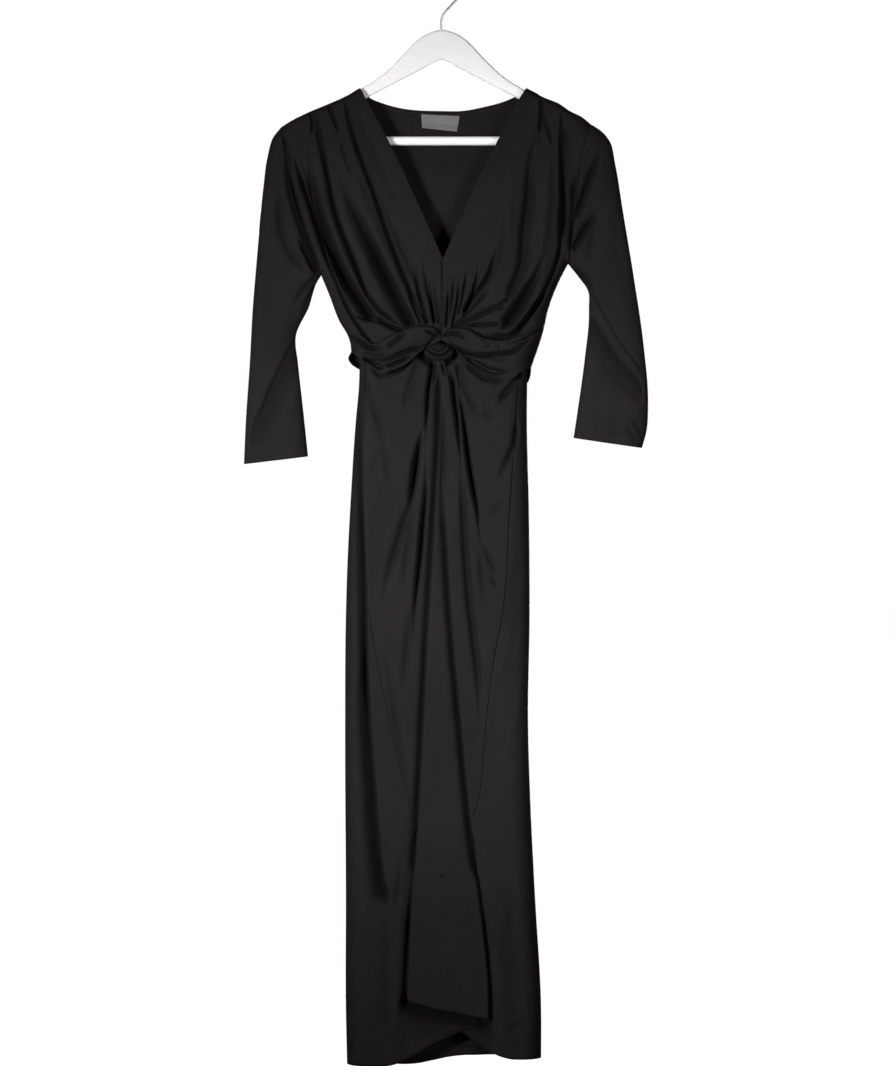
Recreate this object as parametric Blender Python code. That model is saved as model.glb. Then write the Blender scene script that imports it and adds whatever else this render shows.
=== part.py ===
# Jersey dress with a twist knot at the waist, hanging flat on a wooden hanger.
# The frame is +Z up with its origin at the inside top of the hook, the front facing -Y.
# Tables are in millimetres: across from the middle, and drop below the origin.
# Left and right are as seen from the front.

import math
from collections import namedtuple

import bmesh
import bpy
import numpy as np

MM = 0.001

# Cloth
WALL = 1.8                 # thickness of the cloth wall
SEAM = 0.5                 # space between two sewn edges
HALF_GAP = 0.2             # from the mid-plane to each half at a side seam
SIDE_ROLL = 26.0           # how far in from a side the cloth has turned flat
SHOULDER_ROLL = 10.0       # the same below a shoulder
SLEEVE_FRONT = 14.0        # depth of a sleeve in front of the mid-plane
SLEEVE_BACK = 12.0         # and behind it
BODY_EDGE = 125.0          # across, where the body's depth starts to pass into the sleeve's
SLEEVE_EDGE = 195.0        # across, where it has passed
WAIST_TUCK = 7.0           # how far the skirt's top lies in under the twist
PLEAT_LIFT = 5.0           # how far the centre panel stands off at its foot
UNDERLAP = (3.0, 6.0)      # how far the left and right panels lie in under it
SPLIT_DROP = 1106.0        # where the centre panel comes free of its side seams
SLEEVE_START = 0.002       # share of a sleeve's length that its seam gap takes
TUCK_DROP = 525.0          # where the skirt's top starts to come out from under the twist
TUCK_RUN = 60.0            # and the drop it takes to come out
LIFT_DROP = 1092.0         # where the centre panel starts to stand off
LIFT_RUN = 40.0            # and the drop it takes
UNDERLAP_RUN = 18.0        # how far beside the panel the underlap fades out
UNDERLAP_START = -2.0      # from just under the panel's edge
NOWHERE = 1e9              # farther than any point
ON_LINE = 0.5              # closer than this a point takes its way in from the line's own run
LEAST_TURN = 1e-3          # keeps the way out from the cloth a little to the front at its edge

# How the rows and columns of a panel are shared out along its edges
ARMHOLE_SHARE = 0.6
SIDE_SHARE = 0.4
BACK_SIDE_SHARE = 0.3
WAIST_SIDE_SHARE = 0.1
NECK_SHARE = 0.7
CENTRE_SHARE = 0.3
SHOULDER_SHARE = 0.25
BACK_NECK_SHARE = 0.5
SEAM_SHARE = 0.7
FREE_SHARE = 0.3
ROUND = "round"
EARLY = "early"
EARLY_POWER = 1.6
BODICE_CROWD = 0.25        # how much a front bodice's columns crowd towards its armhole
SIDE_CROWD = 1.5           # the same for a side panel of the skirt
GATHER_CROWD = 1.5         # how much the centre panel's columns crowd below the knot
GATHER_SHARE = 0.4         # and the share of its length that they do so for

# Hanger
WOOD_THICK = 11.0
WOOD_ROUND = 4.0
BAR_RADIUS = 5.85
BAR_DROP = 221.0
BAR_END = 182.6
WIRE_RADIUS = 1.4
HOOK_RADIUS = 24.0         # to the middle of the wire

# Depth of the front and of the back of the body at each drop, and the least that a fold leaves of it
Depth = namedtuple("Depth", "drop front back room")
BODY_DEPTH = (
    Depth(drop=153, front=14, back=13, room=10.5),
    Depth(drop=200, front=15, back=13, room=10.5),
    Depth(drop=240, front=18, back=14, room=10.5),
    Depth(drop=280, front=22, back=14, room=7),
    Depth(drop=330, front=27, back=15, room=7),
    Depth(drop=400, front=31, back=17, room=8),
    Depth(drop=470, front=33, back=18, room=10),
    Depth(drop=540, front=32, back=18, room=10),
    Depth(drop=700, front=29, back=18, room=10),
    Depth(drop=1000, front=30, back=19, room=10),
    Depth(drop=1425, front=31, back=20, room=10),
)

# Outlines as (across, drop). The closed ones are where front and back meet.
CLOSED_LINES = {
    "left_shoulder": ((-209, 203), (-198, 196), (-172, 183), (-148, 173), (-120, 160), (-109, 153)),
    "right_shoulder": ((193, 199), (182, 190), (166, 182), (151, 172), (136, 166), (109, 153)),
    "left_arm_outer": ((-209, 203), (-220, 217), (-226, 238), (-231, 274), (-238, 347), (-246, 438),
                       (-250, 511), (-255, 584), (-257.5, 641)),
    "left_arm_inner": ((-157, 396), (-161, 402), (-173, 437), (-190, 475), (-187, 511), (-181, 565),
                       (-174, 631)),
    "right_arm_outer": ((193, 199), (207, 208), (218, 221), (225, 250), (235, 311), (250, 402),
                        (262, 485), (268, 565), (266, 598), (260, 620)),
    "right_arm_inner": ((164, 381), (180, 401), (189, 414), (191, 447), (186, 500), (178, 560), (171, 607)),
    "left_side": ((-157, 396), (-147, 420), (-133, 456), (-122, 475), (-116, 490), (-109, 501)),
    "right_side": ((164, 381), (153, 402), (139, 438), (130, 475), (123, 493), (113, 516)),
    "left_waist_side": ((-109, 501), (-110, 510), (-108, 518)),
    "right_waist_side": ((113, 516), (113, 526), (112, 535)),
    "left_skirt_side": ((-107, 502), (-108, 540), (-112, 584), (-118, 675), (-123.5, 784), (-125, 838),
                        (-126, 1000), (-125, 1200), (-125, 1350), (-123.5, 1420)),
    "right_skirt_side": ((111, 517), (110.5, 584), (113, 700), (114, 838), (112, 975), (115, 1080),
                         (121, 1202), (129, 1350), (129, 1412)),
}
OPEN_LINES = {
    "left_armhole": ((-209, 203), (-204, 240), (-195, 285), (-180, 334), (-166, 372), (-157, 396)),
    "right_armhole": ((193, 199), (183, 233), (177, 272), (174, 311), (167, 350), (164, 381)),
    "left_neck": ((-109, 153), (-100, 169), (-75, 216), (-49, 269), (-26, 320), (0, 378)),
    "right_neck": ((109, 153), (99, 169), (75, 216), (39, 287), (19, 334), (0, 378)),
    "centre_seam": ((0, 378), (0, 430), (-1, 481)),
    "back_neck": ((-109, 153), (-92, 165), (-77, 171), (-55, 177), (0, 181), (30, 180.5), (53, 176),
                  (75, 170.5), (92, 164), (109, 153)),
    "left_twist_foot": ((-109, 501), (-92, 514), (-82, 524), (-65, 520), (-49, 513), (-31, 497),
                        (-18, 488), (-1, 481)),
    "right_twist_foot": ((113, 516), (100, 523), (90, 531), (74, 531), (56, 525), (36, 512),
                         (18, 494), (-1, 481)),
    "back_waist": ((-108, 518), (-50, 522), (0, 524), (60, 529), (112, 535)),
    "left_panel_top": ((-103, 504), (-80, 504), (-49, 496), (-22, 487), (-1, 487)),
    "right_panel_top": ((-1, 487), (16, 489), (34, 500), (60, 514), (100, 516)),
    "left_panel_seam": ((-100, 504), (-103, 610), (-102, 740), (-96, 818), (-79, 919), (-56, 1020),
                        (-34, 1106)),
    "right_panel_seam": ((100, 516), (96, 584), (87, 714), (81, 818), (64, 916), (55, 1005),
                         (48, 1072), (38, 1106)),
    "left_pleat_edge": ((-34, 1106), (-38, 1175), (-43, 1270), (-45.5, 1336)),
    "right_pleat_edge": ((38, 1106), (44, 1170), (53, 1240), (60, 1310), (61, 1360)),
    "pleat_hem": ((-45.5, 1336), (-21, 1343), (26, 1353), (61, 1360)),
    "left_underlap": ((-34, 1106), (-36.5, 1135), (-25, 1160), (10, 1215), (38, 1290), (48, 1369)),
    "right_underlap": ((38, 1106), (43, 1135), (36, 1160), (22, 1210), (13, 1290), (14, 1370)),
    "left_hem": ((-123.5, 1420), (-99, 1421), (-69, 1420), (-44, 1411), (-21, 1397), (3, 1385),
                 (26, 1375), (48, 1369)),
    "right_hem": ((129, 1412), (112, 1412), (87, 1411), (69, 1405), (49, 1392), (31, 1379), (14, 1370)),
    "back_hem": ((-123.5, 1420), (-80, 1422), (-40, 1423), (14, 1413), (129, 1412)),
}

# A fold is a soft trough along its route, or a ridge where its depth is below nothing.
# Each side of it has its own width: "west" lies to the left of a route that runs down,
# and below one that runs to the right. Fades are shares of the route's length.
Fold = namedtuple("Fold", "depth west east fade_in fade_out route")

LEFT_BODICE_FOLDS = {
    "neck_shade": Fold(1.5, 8, 8, 0.3, 0.3, ((-114, 176), (-83, 240), (-52, 318))),
    "first_pleat": Fold(4, 2.5, 11, 0.1, 0.1,
                        ((-126, 166), (-107, 238), (-83, 306), (-47, 402), (-20, 464))),
    "second_nick": Fold(3, 4, 4, 0.2, 0.5, ((-148, 174), (-138, 199), (-132, 222))),
    "second_pleat": Fold(11, 9, 7, 0.7, 0.05,
                         ((-140, 240), (-117, 303), (-83, 370), (-52, 428), (-34, 466))),
    "third_pleat": Fold(4, 2.5, 9, 0.15, 0.1,
                        ((-164, 182), (-148, 266), (-125, 350), (-93, 425), (-46, 466))),
    "fourth_pleat": Fold(13, 10, 7, 0.6, 0.05,
                         ((-172, 205), (-166, 287), (-143, 357), (-114, 417), (-84, 459))),
    "fifth_pleat": Fold(6, 3, 12, 0.3, 0.1,
                        ((-195, 233), (-177, 287), (-151, 370), (-127, 428), (-96, 480))),
    "outer_roll": Fold(-5, 9, 7, 0.3, 0.1,
                       ((-200, 240), (-179, 310), (-158, 375), (-140, 420), (-116, 478))),
    "under_bust": Fold(1.5, 1.6, 1.6, 0.1, 0.1, ((-113, 451), (-80, 458), (-49, 468))),
    "first_gather": Fold(5, 3, 3, 0.5, 0.1, ((-33, 376), (-27, 415), (-18, 451), (-12, 467))),
    "second_gather": Fold(3.5, 2.5, 2.5, 0.5, 0.1, ((-22, 402), (-17, 428), (-9, 458))),
    "third_gather": Fold(3, 2.5, 2.5, 0.5, 0.1, ((-13, 408), (-10, 434), (-5, 462))),
    "twist_top": Fold(-6, 45, 2.5, 0.15, 0.1, ((-104, 470), (-90, 486), (-65, 476), (-35, 467), (-12, 467),
                                              (-1, 474))),
    "twist_upper_fold": Fold(2.5, 3, 3, 0.2, 0.2, ((-95, 491), (-73, 494), (-56, 484), (-43, 470))),
    "twist_middle_fold": Fold(3, 4, 2.5, 0.2, 0.2, ((-106, 497), (-74, 507), (-43, 501), (-20, 490))),
    "twist_lower_fold": Fold(2.5, 4, 2.5, 0.2, 0.2, ((-92, 511), (-72, 514), (-52, 510), (-38, 503))),
}
LEFT_ARM_FOLDS = {
    "armhole_shadow": Fold(8, 5, 4, 0.4, 0.1, ((-205, 222), (-196, 280), (-182, 330), (-160, 392))),
    "cap_soft": Fold(3, 7, 7, 0.4, 0.2, ((-213, 262), (-198, 360), (-168, 400))),
    "cap_short": Fold(4, 4, 3, 0.3, 0.3, ((-188, 344), (-164, 390))),
    "sleeve_turn": Fold(6, 2, 24, 0.1, 0.2,
                        ((-192, 478), (-207, 512), (-231, 565), (-245, 600), (-247, 625))),
}
RIGHT_BODICE_FOLDS = {
    "shoulder_nick": Fold(4, 4, 4, 0.1, 0.3, ((129, 168), (129, 188), (127, 215))),
    "nick_branch": Fold(2, 4, 4, 0.2, 0.5, ((130, 186), (146, 236))),
    "soft_pleat": Fold(6, 8, 9, 0.4, 0.1, ((127, 195), (113, 280), (104, 376), (88, 422), (83, 436))),
    "great_pleat": Fold(11, 3, 9, 0.35, 0.1,
                        ((154, 178), (155, 260), (151, 340), (139, 398), (114, 443), (94, 465))),
    "hollow": Fold(12, 6, 7, 0.6, 0.1, ((131, 372), (114, 415), (96, 445), (75, 467))),
    "fan_long": Fold(5, 4, 4, 0.4, 0.1, ((74, 350), (55, 407), (36, 433), (16, 461))),
    "fan_short": Fold(3.5, 3, 3, 0.4, 0.1, ((62, 415), (42, 440), (21, 463))),
    "tuck_edge": Fold(3.5, 3, 6, 0.1, 0.2, ((10, 466), (30, 450), (55, 440), (84, 436))),
    "dark_wedge": Fold(6, 4, 3, 0.3, 0.2, ((34, 461), (55, 458), (80, 458))),
    "outer_fold": Fold(5, 3.5, 3.5, 0.2, 0.2, ((38, 470), (66, 480), (92, 478), (112, 463), (134, 424))),
    "first_gather": Fold(3, 2.5, 2.5, 0.5, 0.1, ((5, 410), (3, 440), (1, 466))),
    "second_gather": Fold(3, 2.5, 2.5, 0.5, 0.1, ((14, 404), (9, 441), (3, 466))),
    "third_gather": Fold(3.5, 2.5, 2.5, 0.5, 0.1, ((24, 388), (18, 425), (7, 463))),
    "fourth_gather": Fold(3.5, 2.5, 2.5, 0.5, 0.1, ((33, 384), (26, 425), (11, 462))),
    "fifth_gather": Fold(4, 3, 3, 0.5, 0.1, ((46, 372), (36, 415), (14, 461))),
    "twist_top": Fold(-6, 50, 3, 0.1, 0.3,
                      ((-1, 474), (12, 468), (40, 471), (66, 484), (90, 483), (124, 468))),
    "twist_middle_fold": Fold(4.5, 5, 2.5, 0.15, 0.15, ((14, 487), (46, 498), (83, 497), (120, 481))),
}
RIGHT_ARM_FOLDS = {
    "armhole_shadow": Fold(7, 4, 5, 0.3, 0.2, ((177, 262), (172, 310), (167, 345), (165, 378))),
    "cap_long": Fold(3.5, 5, 6, 0.2, 0.3, ((212, 228), (194, 266), (178, 303))),
    "cap_short": Fold(4, 6, 6, 0.2, 0.3, ((205, 311), (190, 332), (173, 357))),
    "sleeve_turn": Fold(6, 24, 2, 0.1, 0.2, ((190, 444), (212, 478), (233, 510), (254, 535), (262, 566))),
}
CENTRE_SKIRT_FOLDS = {
    "left_deep": Fold(10, 6, 5, 0.2, 0.4, ((-15, 515), (-20, 571), (-32, 641), (-42, 704), (-66, 779))),
    "left_long": Fold(6, 4, 4, 0.3, 0.4, ((-22, 650), (-24, 714), (-31, 792), (-39, 865))),
    "pleat_left": Fold(5, 8, 2.5, 0.1, 0.1,
                       ((-4, 520), (-5, 610), (-14, 766), (-19, 896), (-29, 1039), (-39, 1182))),
    "pleat_right": Fold(5, 2.5, 8, 0.2, 0.1,
                        ((-1, 610), (3, 714), (12, 857), (25, 1013), (38, 1117), (46, 1182))),
    "right_long": Fold(5, 4, 5, 0.1, 0.3, ((15, 520), (22, 623), (30, 753), (37, 830), (53, 909))),
    "right_deep": Fold(9, 5, 5, 0.2, 0.4, ((14, 518), (27, 584), (42, 675), (52, 745), (66, 773))),
    "knot_far_left": Fold(3, 3, 3, 0.1, 0.5, ((-17, 508), (-20, 550))),
    "knot_left": Fold(3, 2.5, 2.5, 0.1, 0.5, ((-10, 508), (-10, 545))),
    "knot_right": Fold(3, 2.5, 2.5, 0.1, 0.5, ((3, 508), (8, 545))),
    "corner_short": Fold(4, 6, 6, 0.2, 0.5, ((97, 530), (83, 549), (70, 570))),
    "corner_long": Fold(3, 8, 8, 0.3, 0.4, ((98, 590), (86, 640), (72, 668))),
    "left_bowl": Fold(2, 12, 14, 0.4, 0.4, ((-92, 560), (-75, 620), (-50, 650))),
}
LEFT_SKIRT_FOLDS = {
    "side_trough": Fold(8, 8, 4, 0.3, 0.15, ((-107, 600), (-104, 688), (-101, 818), (-97, 980), (-90, 1104),
                                            (-66, 1216))),
}
RIGHT_SKIRT_FOLDS = {
    "side_soft": Fold(2.5, 12, 12, 0.3, 0.3, ((98, 700), (96, 850), (88, 1000))),
    "foot_crumple": Fold(3, 6, 6, 0.4, 0.4, ((86, 1366), (100, 1372), (114, 1382))),
}
BACK_FOLDS = {
    "left_blade": Fold(4, 12, 12, 0.4, 0.4, ((-150, 250), (-120, 340), (-92, 440))),
    "right_blade": Fold(4, 12, 12, 0.4, 0.4, ((148, 244), (116, 350), (88, 452))),
    "left_waist": Fold(3, 6, 6, 0.3, 0.5, ((-104, 520), (-70, 500), (-30, 492))),
    "right_waist": Fold(3, 6, 6, 0.5, 0.3, ((24, 500), (66, 508), (106, 532))),
    "left_fall": Fold(4, 16, 16, 0.2, 0.3, ((-58, 530), (-64, 800), (-78, 1150))),
    "middle_fall": Fold(3, 18, 18, 0.3, 0.3, ((6, 560), (2, 840), (-10, 1260))),
    "right_fall": Fold(4, 16, 16, 0.2, 0.3, ((56, 540), (62, 820), (80, 1180))),
}

# Each half of the hanger's outline, from its top to the tip and back under the arm
HANGER_HALF = ((0, 76), (14, 79.5), (24, 84.5), (33, 91), (41, 99), (51, 110), (65, 124.5), (77, 135.5),
               (90, 145), (100, 150.5), (109, 156.5), (120, 163), (137, 171.5), (148, 176.5), (167, 186),
               (182, 196.5), (189, 205), (193, 212), (194.5, 219), (194, 228), (191, 233), (186, 233),
               (183, 229), (183, 213), (176, 206), (165, 200), (96, 164.6), (0, 115))
HOOK_STEM = ((-1, 75.7), (-1, 65), (1.2, 57.5), (6.5, 50.5))
HOOK_FROM = -52.0          # angle where the stem joins the round, in degrees
HOOK_TO = 200.0            # and where the wire ends
HOOK_STEPS = 22

Knot = namedtuple("Knot", "across drop depth half_width half_height front behind wraps wrap_height")
KNOT = Knot(across=-4, drop=496.5, depth=-31, half_width=19, half_height=11, front=14, behind=3, wraps=5,
            wrap_height=0.07)
SHARP_ANGLE = 40           # the bar's rims, in degrees

LABEL_TOP = ((-27, 185), (23, 187.5))
LABEL_FOOT = ((-26, 203), (19.5, 208))
LABEL_GAP = 0.4
LABEL_THICK = 0.6

CLOTH_COLOUR = (0.021, 0.018, 0.019, 1)
WOOD_COLOUR = (0.86, 0.85, 0.83, 1)
WIRE_COLOUR = (0.55, 0.56, 0.57, 1)
LABEL_COLOUR = (0.16, 0.16, 0.165, 1)


def smooth_line(points, samples=48):
    """Points of a smooth line through the given ones."""
    given = np.array(points, float)
    steps = np.hypot(*np.diff(given, axis=0).T)
    along = np.concatenate([[0.0], np.cumsum(steps)])
    slope = np.gradient(given, along, axis=0)
    at = np.linspace(0, along[-1], samples)
    k = np.clip(np.searchsorted(along, at, side="right") - 1, 0, len(along) - 2)
    span = along[k + 1] - along[k]
    s = ((at - along[k]) / span)[:, None]
    span = span[:, None]
    line = ((2 * s**3 - 3 * s**2 + 1) * given[k] + (s**3 - 2 * s**2 + s) * span * slope[k]
            + (3 * s**2 - 2 * s**3) * given[k + 1] + (s**3 - s**2) * span * slope[k + 1])
    line[0] = given[0]
    line[-1] = given[-1]
    return line


LINES = {name: smooth_line(points) for name, points in {**CLOSED_LINES, **OPEN_LINES}.items()}


def moved(line, across=0.0, drop=0.0):
    return line + np.array((across, drop))


def edge(*parts):
    """An edge of (line, share) parts, asked for places at shares of its way.

    A part marked ROUND has its points closer at both ends, as a sleeve's ring has,
    and one marked EARLY has them closer at its start.
    """
    ends = np.concatenate([[0.0], np.cumsum([part[1] for part in parts])])

    def place(where):
        out = np.empty((len(where), 2))
        for number, part in enumerate(parts):
            inside = where >= ends[number] - 1e-6
            line = part[0]
            steps = np.concatenate([[0.0], np.cumsum(np.hypot(*np.diff(line, axis=0).T))])
            at = np.clip((where[inside] - ends[number]) / part[1], 0, 1)
            if ROUND in part[2:]:
                at = (1 - np.cos(math.pi * at)) / 2
            if EARLY in part[2:]:
                at = at ** EARLY_POWER
            out[inside, 0] = np.interp(at * steps[-1], steps, line[:, 0])
            out[inside, 1] = np.interp(at * steps[-1], steps, line[:, 1])
        return out

    return place


def patch(top, bottom, outer, inner, u, v):
    """Places inside four edges, u from the outer edge to the inner one and v downwards."""
    zero, one = np.zeros(1), np.ones(1)
    a, b = u[:, None], v[:, None]
    across = (1 - b) * top(u) + b * bottom(u)
    down = (1 - a) * outer(v) + a * inner(v)
    corners = ((1 - a) * (1 - b) * top(zero) + a * (1 - b) * top(one)
               + (1 - a) * b * bottom(zero) + a * b * bottom(one))
    return across + down - corners


def nearest(points, line, inside=1):
    """Distance of each point to a line, its side, its share along, and the way in from the line."""
    best = np.full(len(points), NOWHERE)
    side = np.zeros(len(points))
    along = np.zeros(len(points))
    way = np.zeros((len(points), 2))
    steps = np.hypot(*np.diff(line, axis=0).T)
    reached = np.concatenate([[0.0], np.cumsum(steps)])
    for number, length in enumerate(steps):
        start = line[number]
        run = (line[number + 1] - start) / length
        offset = points - start
        t = np.clip(offset @ run, 0, length)
        gap = offset - t[:, None] * run
        distance = np.hypot(gap[:, 0], gap[:, 1])
        closer = distance < best - 1e-9
        best[closer] = distance[closer]
        side[closer] = (run[0] * gap[:, 1] - run[1] * gap[:, 0])[closer]
        along[closer] = ((reached[number] + t) / reached[-1])[closer]
        way[closer] = np.array((-run[1], run[0])) * inside
        far = closer & (distance > ON_LINE)
        way[far] = gap[far] / distance[far, None]
    return best, side, along, way


def ease(t):
    t = np.clip(t, 0, 1)
    return t * t * (3 - 2 * t)


def fold_relief(points, folds):
    """How far the folds push each place of the cloth inwards."""
    relief = np.zeros(len(points))
    for fold in folds.values():
        distance, side, along, way = nearest(points, smooth_line(fold.route, 20))
        width = np.where(side > 0, fold.west, fold.east)
        strength = ease(along / fold.fade_in) * ease((1 - along) / fold.fade_out)
        relief += fold.depth * strength * np.exp(-(distance / width) ** 2)
    return relief


def turned(points, names, roll):
    """How far the cloth has turned from the named closed lines, and the way it then faces."""
    best = np.full(len(points), NOWHERE)
    facing = np.zeros((len(points), 2))
    for name in names:
        distance, side, along, way = nearest(points, LINES[name], INSIDE[name])
        closer = distance < best
        best[closer] = distance[closer]
        facing[closer] = -way[closer]
    t = np.clip(best / roll, 0, 1)
    return np.sqrt(1 - (1 - t) ** 2), facing * (1 - t)[:, None]


BODY_SIDES = ("left_side", "right_side")
ARM_OUTER = ("left_arm_outer", "right_arm_outer")
ARM_INNER = ("left_arm_inner", "right_arm_inner")
SHOULDERS = ("left_shoulder", "right_shoulder")
WAIST_SIDES = ("left_waist_side", "right_waist_side")
SKIRT_SIDES = ("left_skirt_side", "right_skirt_side")
# The side of each closed line that the cloth lies on: 1 for west and -1 for east
INSIDE = {
    "left_shoulder": 1,
    "left_arm_outer": -1,
    "left_arm_inner": 1,
    "left_side": -1,
    "left_waist_side": -1,
    "left_skirt_side": -1,
    "right_shoulder": -1,
    "right_arm_outer": 1,
    "right_arm_inner": -1,
    "right_side": 1,
    "right_waist_side": 1,
    "right_skirt_side": 1,
}


def cloth(points, back, sides, folds, extra=None):
    """Outer and inner places of the cloth at (across, drop) places, in metres.

    The sides are those of the body, an arm or the skirt, which the cloth turns in at.
    """
    drops = [row.drop for row in BODY_DEPTH]
    full = np.interp(points[:, 1], drops, [row.back if back else row.front for row in BODY_DEPTH])
    room = np.interp(points[:, 1], drops, [row.room for row in BODY_DEPTH])
    if sides == "skirt":
        turn, facing = turned(points, SKIRT_SIDES, SIDE_ROLL)
    else:
        arm = ease((np.abs(points[:, 0]) - BODY_EDGE) / (SLEEVE_EDGE - BODY_EDGE))
        full = full * (1 - arm) + (SLEEVE_BACK if back else SLEEVE_FRONT) * arm
        body_sides = BODY_SIDES + WAIST_SIDES if back else BODY_SIDES
        own_sides = body_sides + ARM_OUTER if sides == "body" else ARM_OUTER + ARM_INNER
        side_facing = turned(points, own_sides, SIDE_ROLL)[1]
        side_turn = turned(points, body_sides + ARM_OUTER + ARM_INNER, SIDE_ROLL)[0]
        top_turn, top_facing = turned(points, SHOULDERS, SHOULDER_ROLL)
        turn = side_turn * top_turn
        facing = side_facing + top_facing
    relief = fold_relief(points, folds)
    if extra is not None:
        relief = relief + extra(points)
    depth = (full - np.minimum(relief, full - room)) * turn
    outward = np.column_stack((facing, np.maximum(turn, LEAST_TURN)))
    outward /= np.linalg.norm(outward, axis=1)[:, None]
    sign = 1 if back else -1
    outer = np.column_stack((points[:, 0], sign * (depth + HALF_GAP), -points[:, 1]))
    step = np.column_stack((outward[:, 0], sign * outward[:, 2], -outward[:, 1])) * WALL
    return outer * MM, (outer - step) * MM


def grid_mesh(columns, rows):
    """A flat grid whose corners carry u and v from 0 to 1, and the arrays of both."""
    work = bmesh.new()
    bmesh.ops.create_grid(work, x_segments=columns, y_segments=rows, size=0.5)
    places = np.array([corner.co for corner in work.verts])
    return work, places[:, 0] + 0.5, 0.5 - places[:, 1]


def wall_object(name, work, outer, inner, material, tube=False):
    """A closed wall: the grid takes the outer places and its extruded copy the inner ones."""
    number = work.verts.layers.int.new("number")
    for count, corner in enumerate(work.verts):
        corner[number] = count
        corner.co = outer[count]
    if tube:
        bmesh.ops.remove_doubles(work, verts=list(work.verts), dist=1e-7)
    made = bmesh.ops.extrude_face_region(work, geom=list(work.faces), use_keep_orig=True)
    for item in made["geom"]:
        if isinstance(item, bmesh.types.BMVert):
            item.co = inner[item[number]]
    bmesh.ops.recalc_face_normals(work, faces=list(work.faces))
    if work.calc_volume(signed=True) < 0:
        bmesh.ops.reverse_faces(work, faces=list(work.faces))
    return finish(name, work, material)


def finish(name, work, material):
    mesh = bpy.data.meshes.new(name)
    work.to_mesh(mesh)
    work.free()
    mesh.materials.append(material)
    mesh.shade_smooth()
    thing = bpy.data.objects.new(name, mesh)
    parts.objects.link(thing)
    return thing


def make_material(name, colour, roughness, metallic=0.0):
    material = bpy.data.materials.new(name)
    material.use_nodes = True
    shader = material.node_tree.nodes["Principled BSDF"]
    shader.inputs["Base Color"].default_value = colour
    shader.inputs["Roughness"].default_value = roughness
    shader.inputs["Metallic"].default_value = metallic
    material.diffuse_color = colour
    return material


for old in list(bpy.data.objects):
    bpy.data.objects.remove(old)
parts = bpy.data.collections.new("jersey_dress")
bpy.context.scene.collection.children.link(parts)

cloth_material = make_material("jersey", CLOTH_COLOUR, 0.75)
wood_material = make_material("white_wood", WOOD_COLOUR, 0.35)
wire_material = make_material("hook_wire", WIRE_COLOUR, 0.25, 1.0)
label_material = make_material("label_satin", LABEL_COLOUR, 0.5)


def make_front_bodice(side, columns, rows):
    """A front half from its armhole and side to the neck edge and centre seam, twist and all."""
    left = side == "left"
    shift = -SEAM / 2 if left else SEAM / 2
    work, u, v = grid_mesh(columns, rows)
    u = 1 - np.cos(u * math.pi / 2) * (1 - BODICE_CROWD * np.sin(u * math.pi))
    points = patch(
        edge((LINES[side + "_shoulder"], 1.0)),
        edge((LINES[side + "_twist_foot"], 1.0)),
        edge((LINES[side + "_armhole"], ARMHOLE_SHARE, ROUND), (LINES[side + "_side"], SIDE_SHARE)),
        edge((moved(LINES[side + "_neck"], shift), NECK_SHARE, EARLY),
             (moved(LINES["centre_seam"], shift), CENTRE_SHARE)),
        u, v)
    folds = ({**LEFT_BODICE_FOLDS, **LEFT_ARM_FOLDS} if left else {**RIGHT_BODICE_FOLDS, **RIGHT_ARM_FOLDS})
    outer, inner = cloth(points, False, "body", folds)
    return wall_object("bodice_front_" + side, work, outer, inner, cloth_material)


def make_back_bodice(columns, rows):
    work, u, v = grid_mesh(columns, rows)
    points = patch(
        edge((LINES["left_shoulder"], SHOULDER_SHARE), (LINES["back_neck"], BACK_NECK_SHARE, ROUND),
             (LINES["right_shoulder"][::-1], SHOULDER_SHARE)),
        edge((LINES["back_waist"], 1.0)),
        edge((LINES["left_armhole"], ARMHOLE_SHARE, ROUND), (LINES["left_side"], BACK_SIDE_SHARE),
             (LINES["left_waist_side"], WAIST_SIDE_SHARE)),
        edge((LINES["right_armhole"], ARMHOLE_SHARE, ROUND), (LINES["right_side"], BACK_SIDE_SHARE),
             (LINES["right_waist_side"], WAIST_SIDE_SHARE)),
        u, v)
    outer, inner = cloth(points, True, "body", BACK_FOLDS)
    return wall_object("bodice_back", work, outer, inner, cloth_material)


def make_sleeve(side, around, rows):
    """A flattened tube from the armhole to the cuff."""
    left = side == "left"
    work, turn, v = grid_mesh(around, rows)
    u = (1 - np.cos(2 * math.pi * turn)) / 2
    v = SLEEVE_START + (1 - SLEEVE_START) * v
    cuff = np.array((LINES[side + "_arm_outer"][-1], LINES[side + "_arm_inner"][-1]))
    points = patch(
        edge((LINES[side + "_armhole"], 1.0)),
        edge((cuff, 1.0)),
        edge((LINES[side + "_arm_outer"], 1.0)),
        edge((LINES[side + "_arm_inner"], 1.0)),
        u, v)
    folds = LEFT_ARM_FOLDS if left else RIGHT_ARM_FOLDS
    front_outer, front_inner = cloth(points, False, "arm", folds)
    back_outer, back_inner = cloth(points, True, "arm", {})
    behind = (turn > 0.5)[:, None]
    outer = np.where(behind, back_outer, front_outer)
    inner = np.where(behind, back_inner, front_inner)
    fold_line = (np.abs(turn - 0.5) > 0.499) | (np.abs(turn - 0.5) < 0.001)
    outer[fold_line, 1] = 0
    inner[fold_line, 1] = 0
    return wall_object("sleeve_" + side, work, outer, inner, cloth_material, tube=True)


def beside_pleat(points):
    """Signed distance outwards from the centre panel's edges, below 0 under the panel."""
    edges = {side: LINES[side + "_pleat_edge"] for side in ("left", "right")}
    left = np.interp(points[:, 1], edges["left"][:, 1], edges["left"][:, 0])
    right = np.interp(points[:, 1], edges["right"][:, 1], edges["right"][:, 0])
    return left - points[:, 0], points[:, 0] - right


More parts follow.
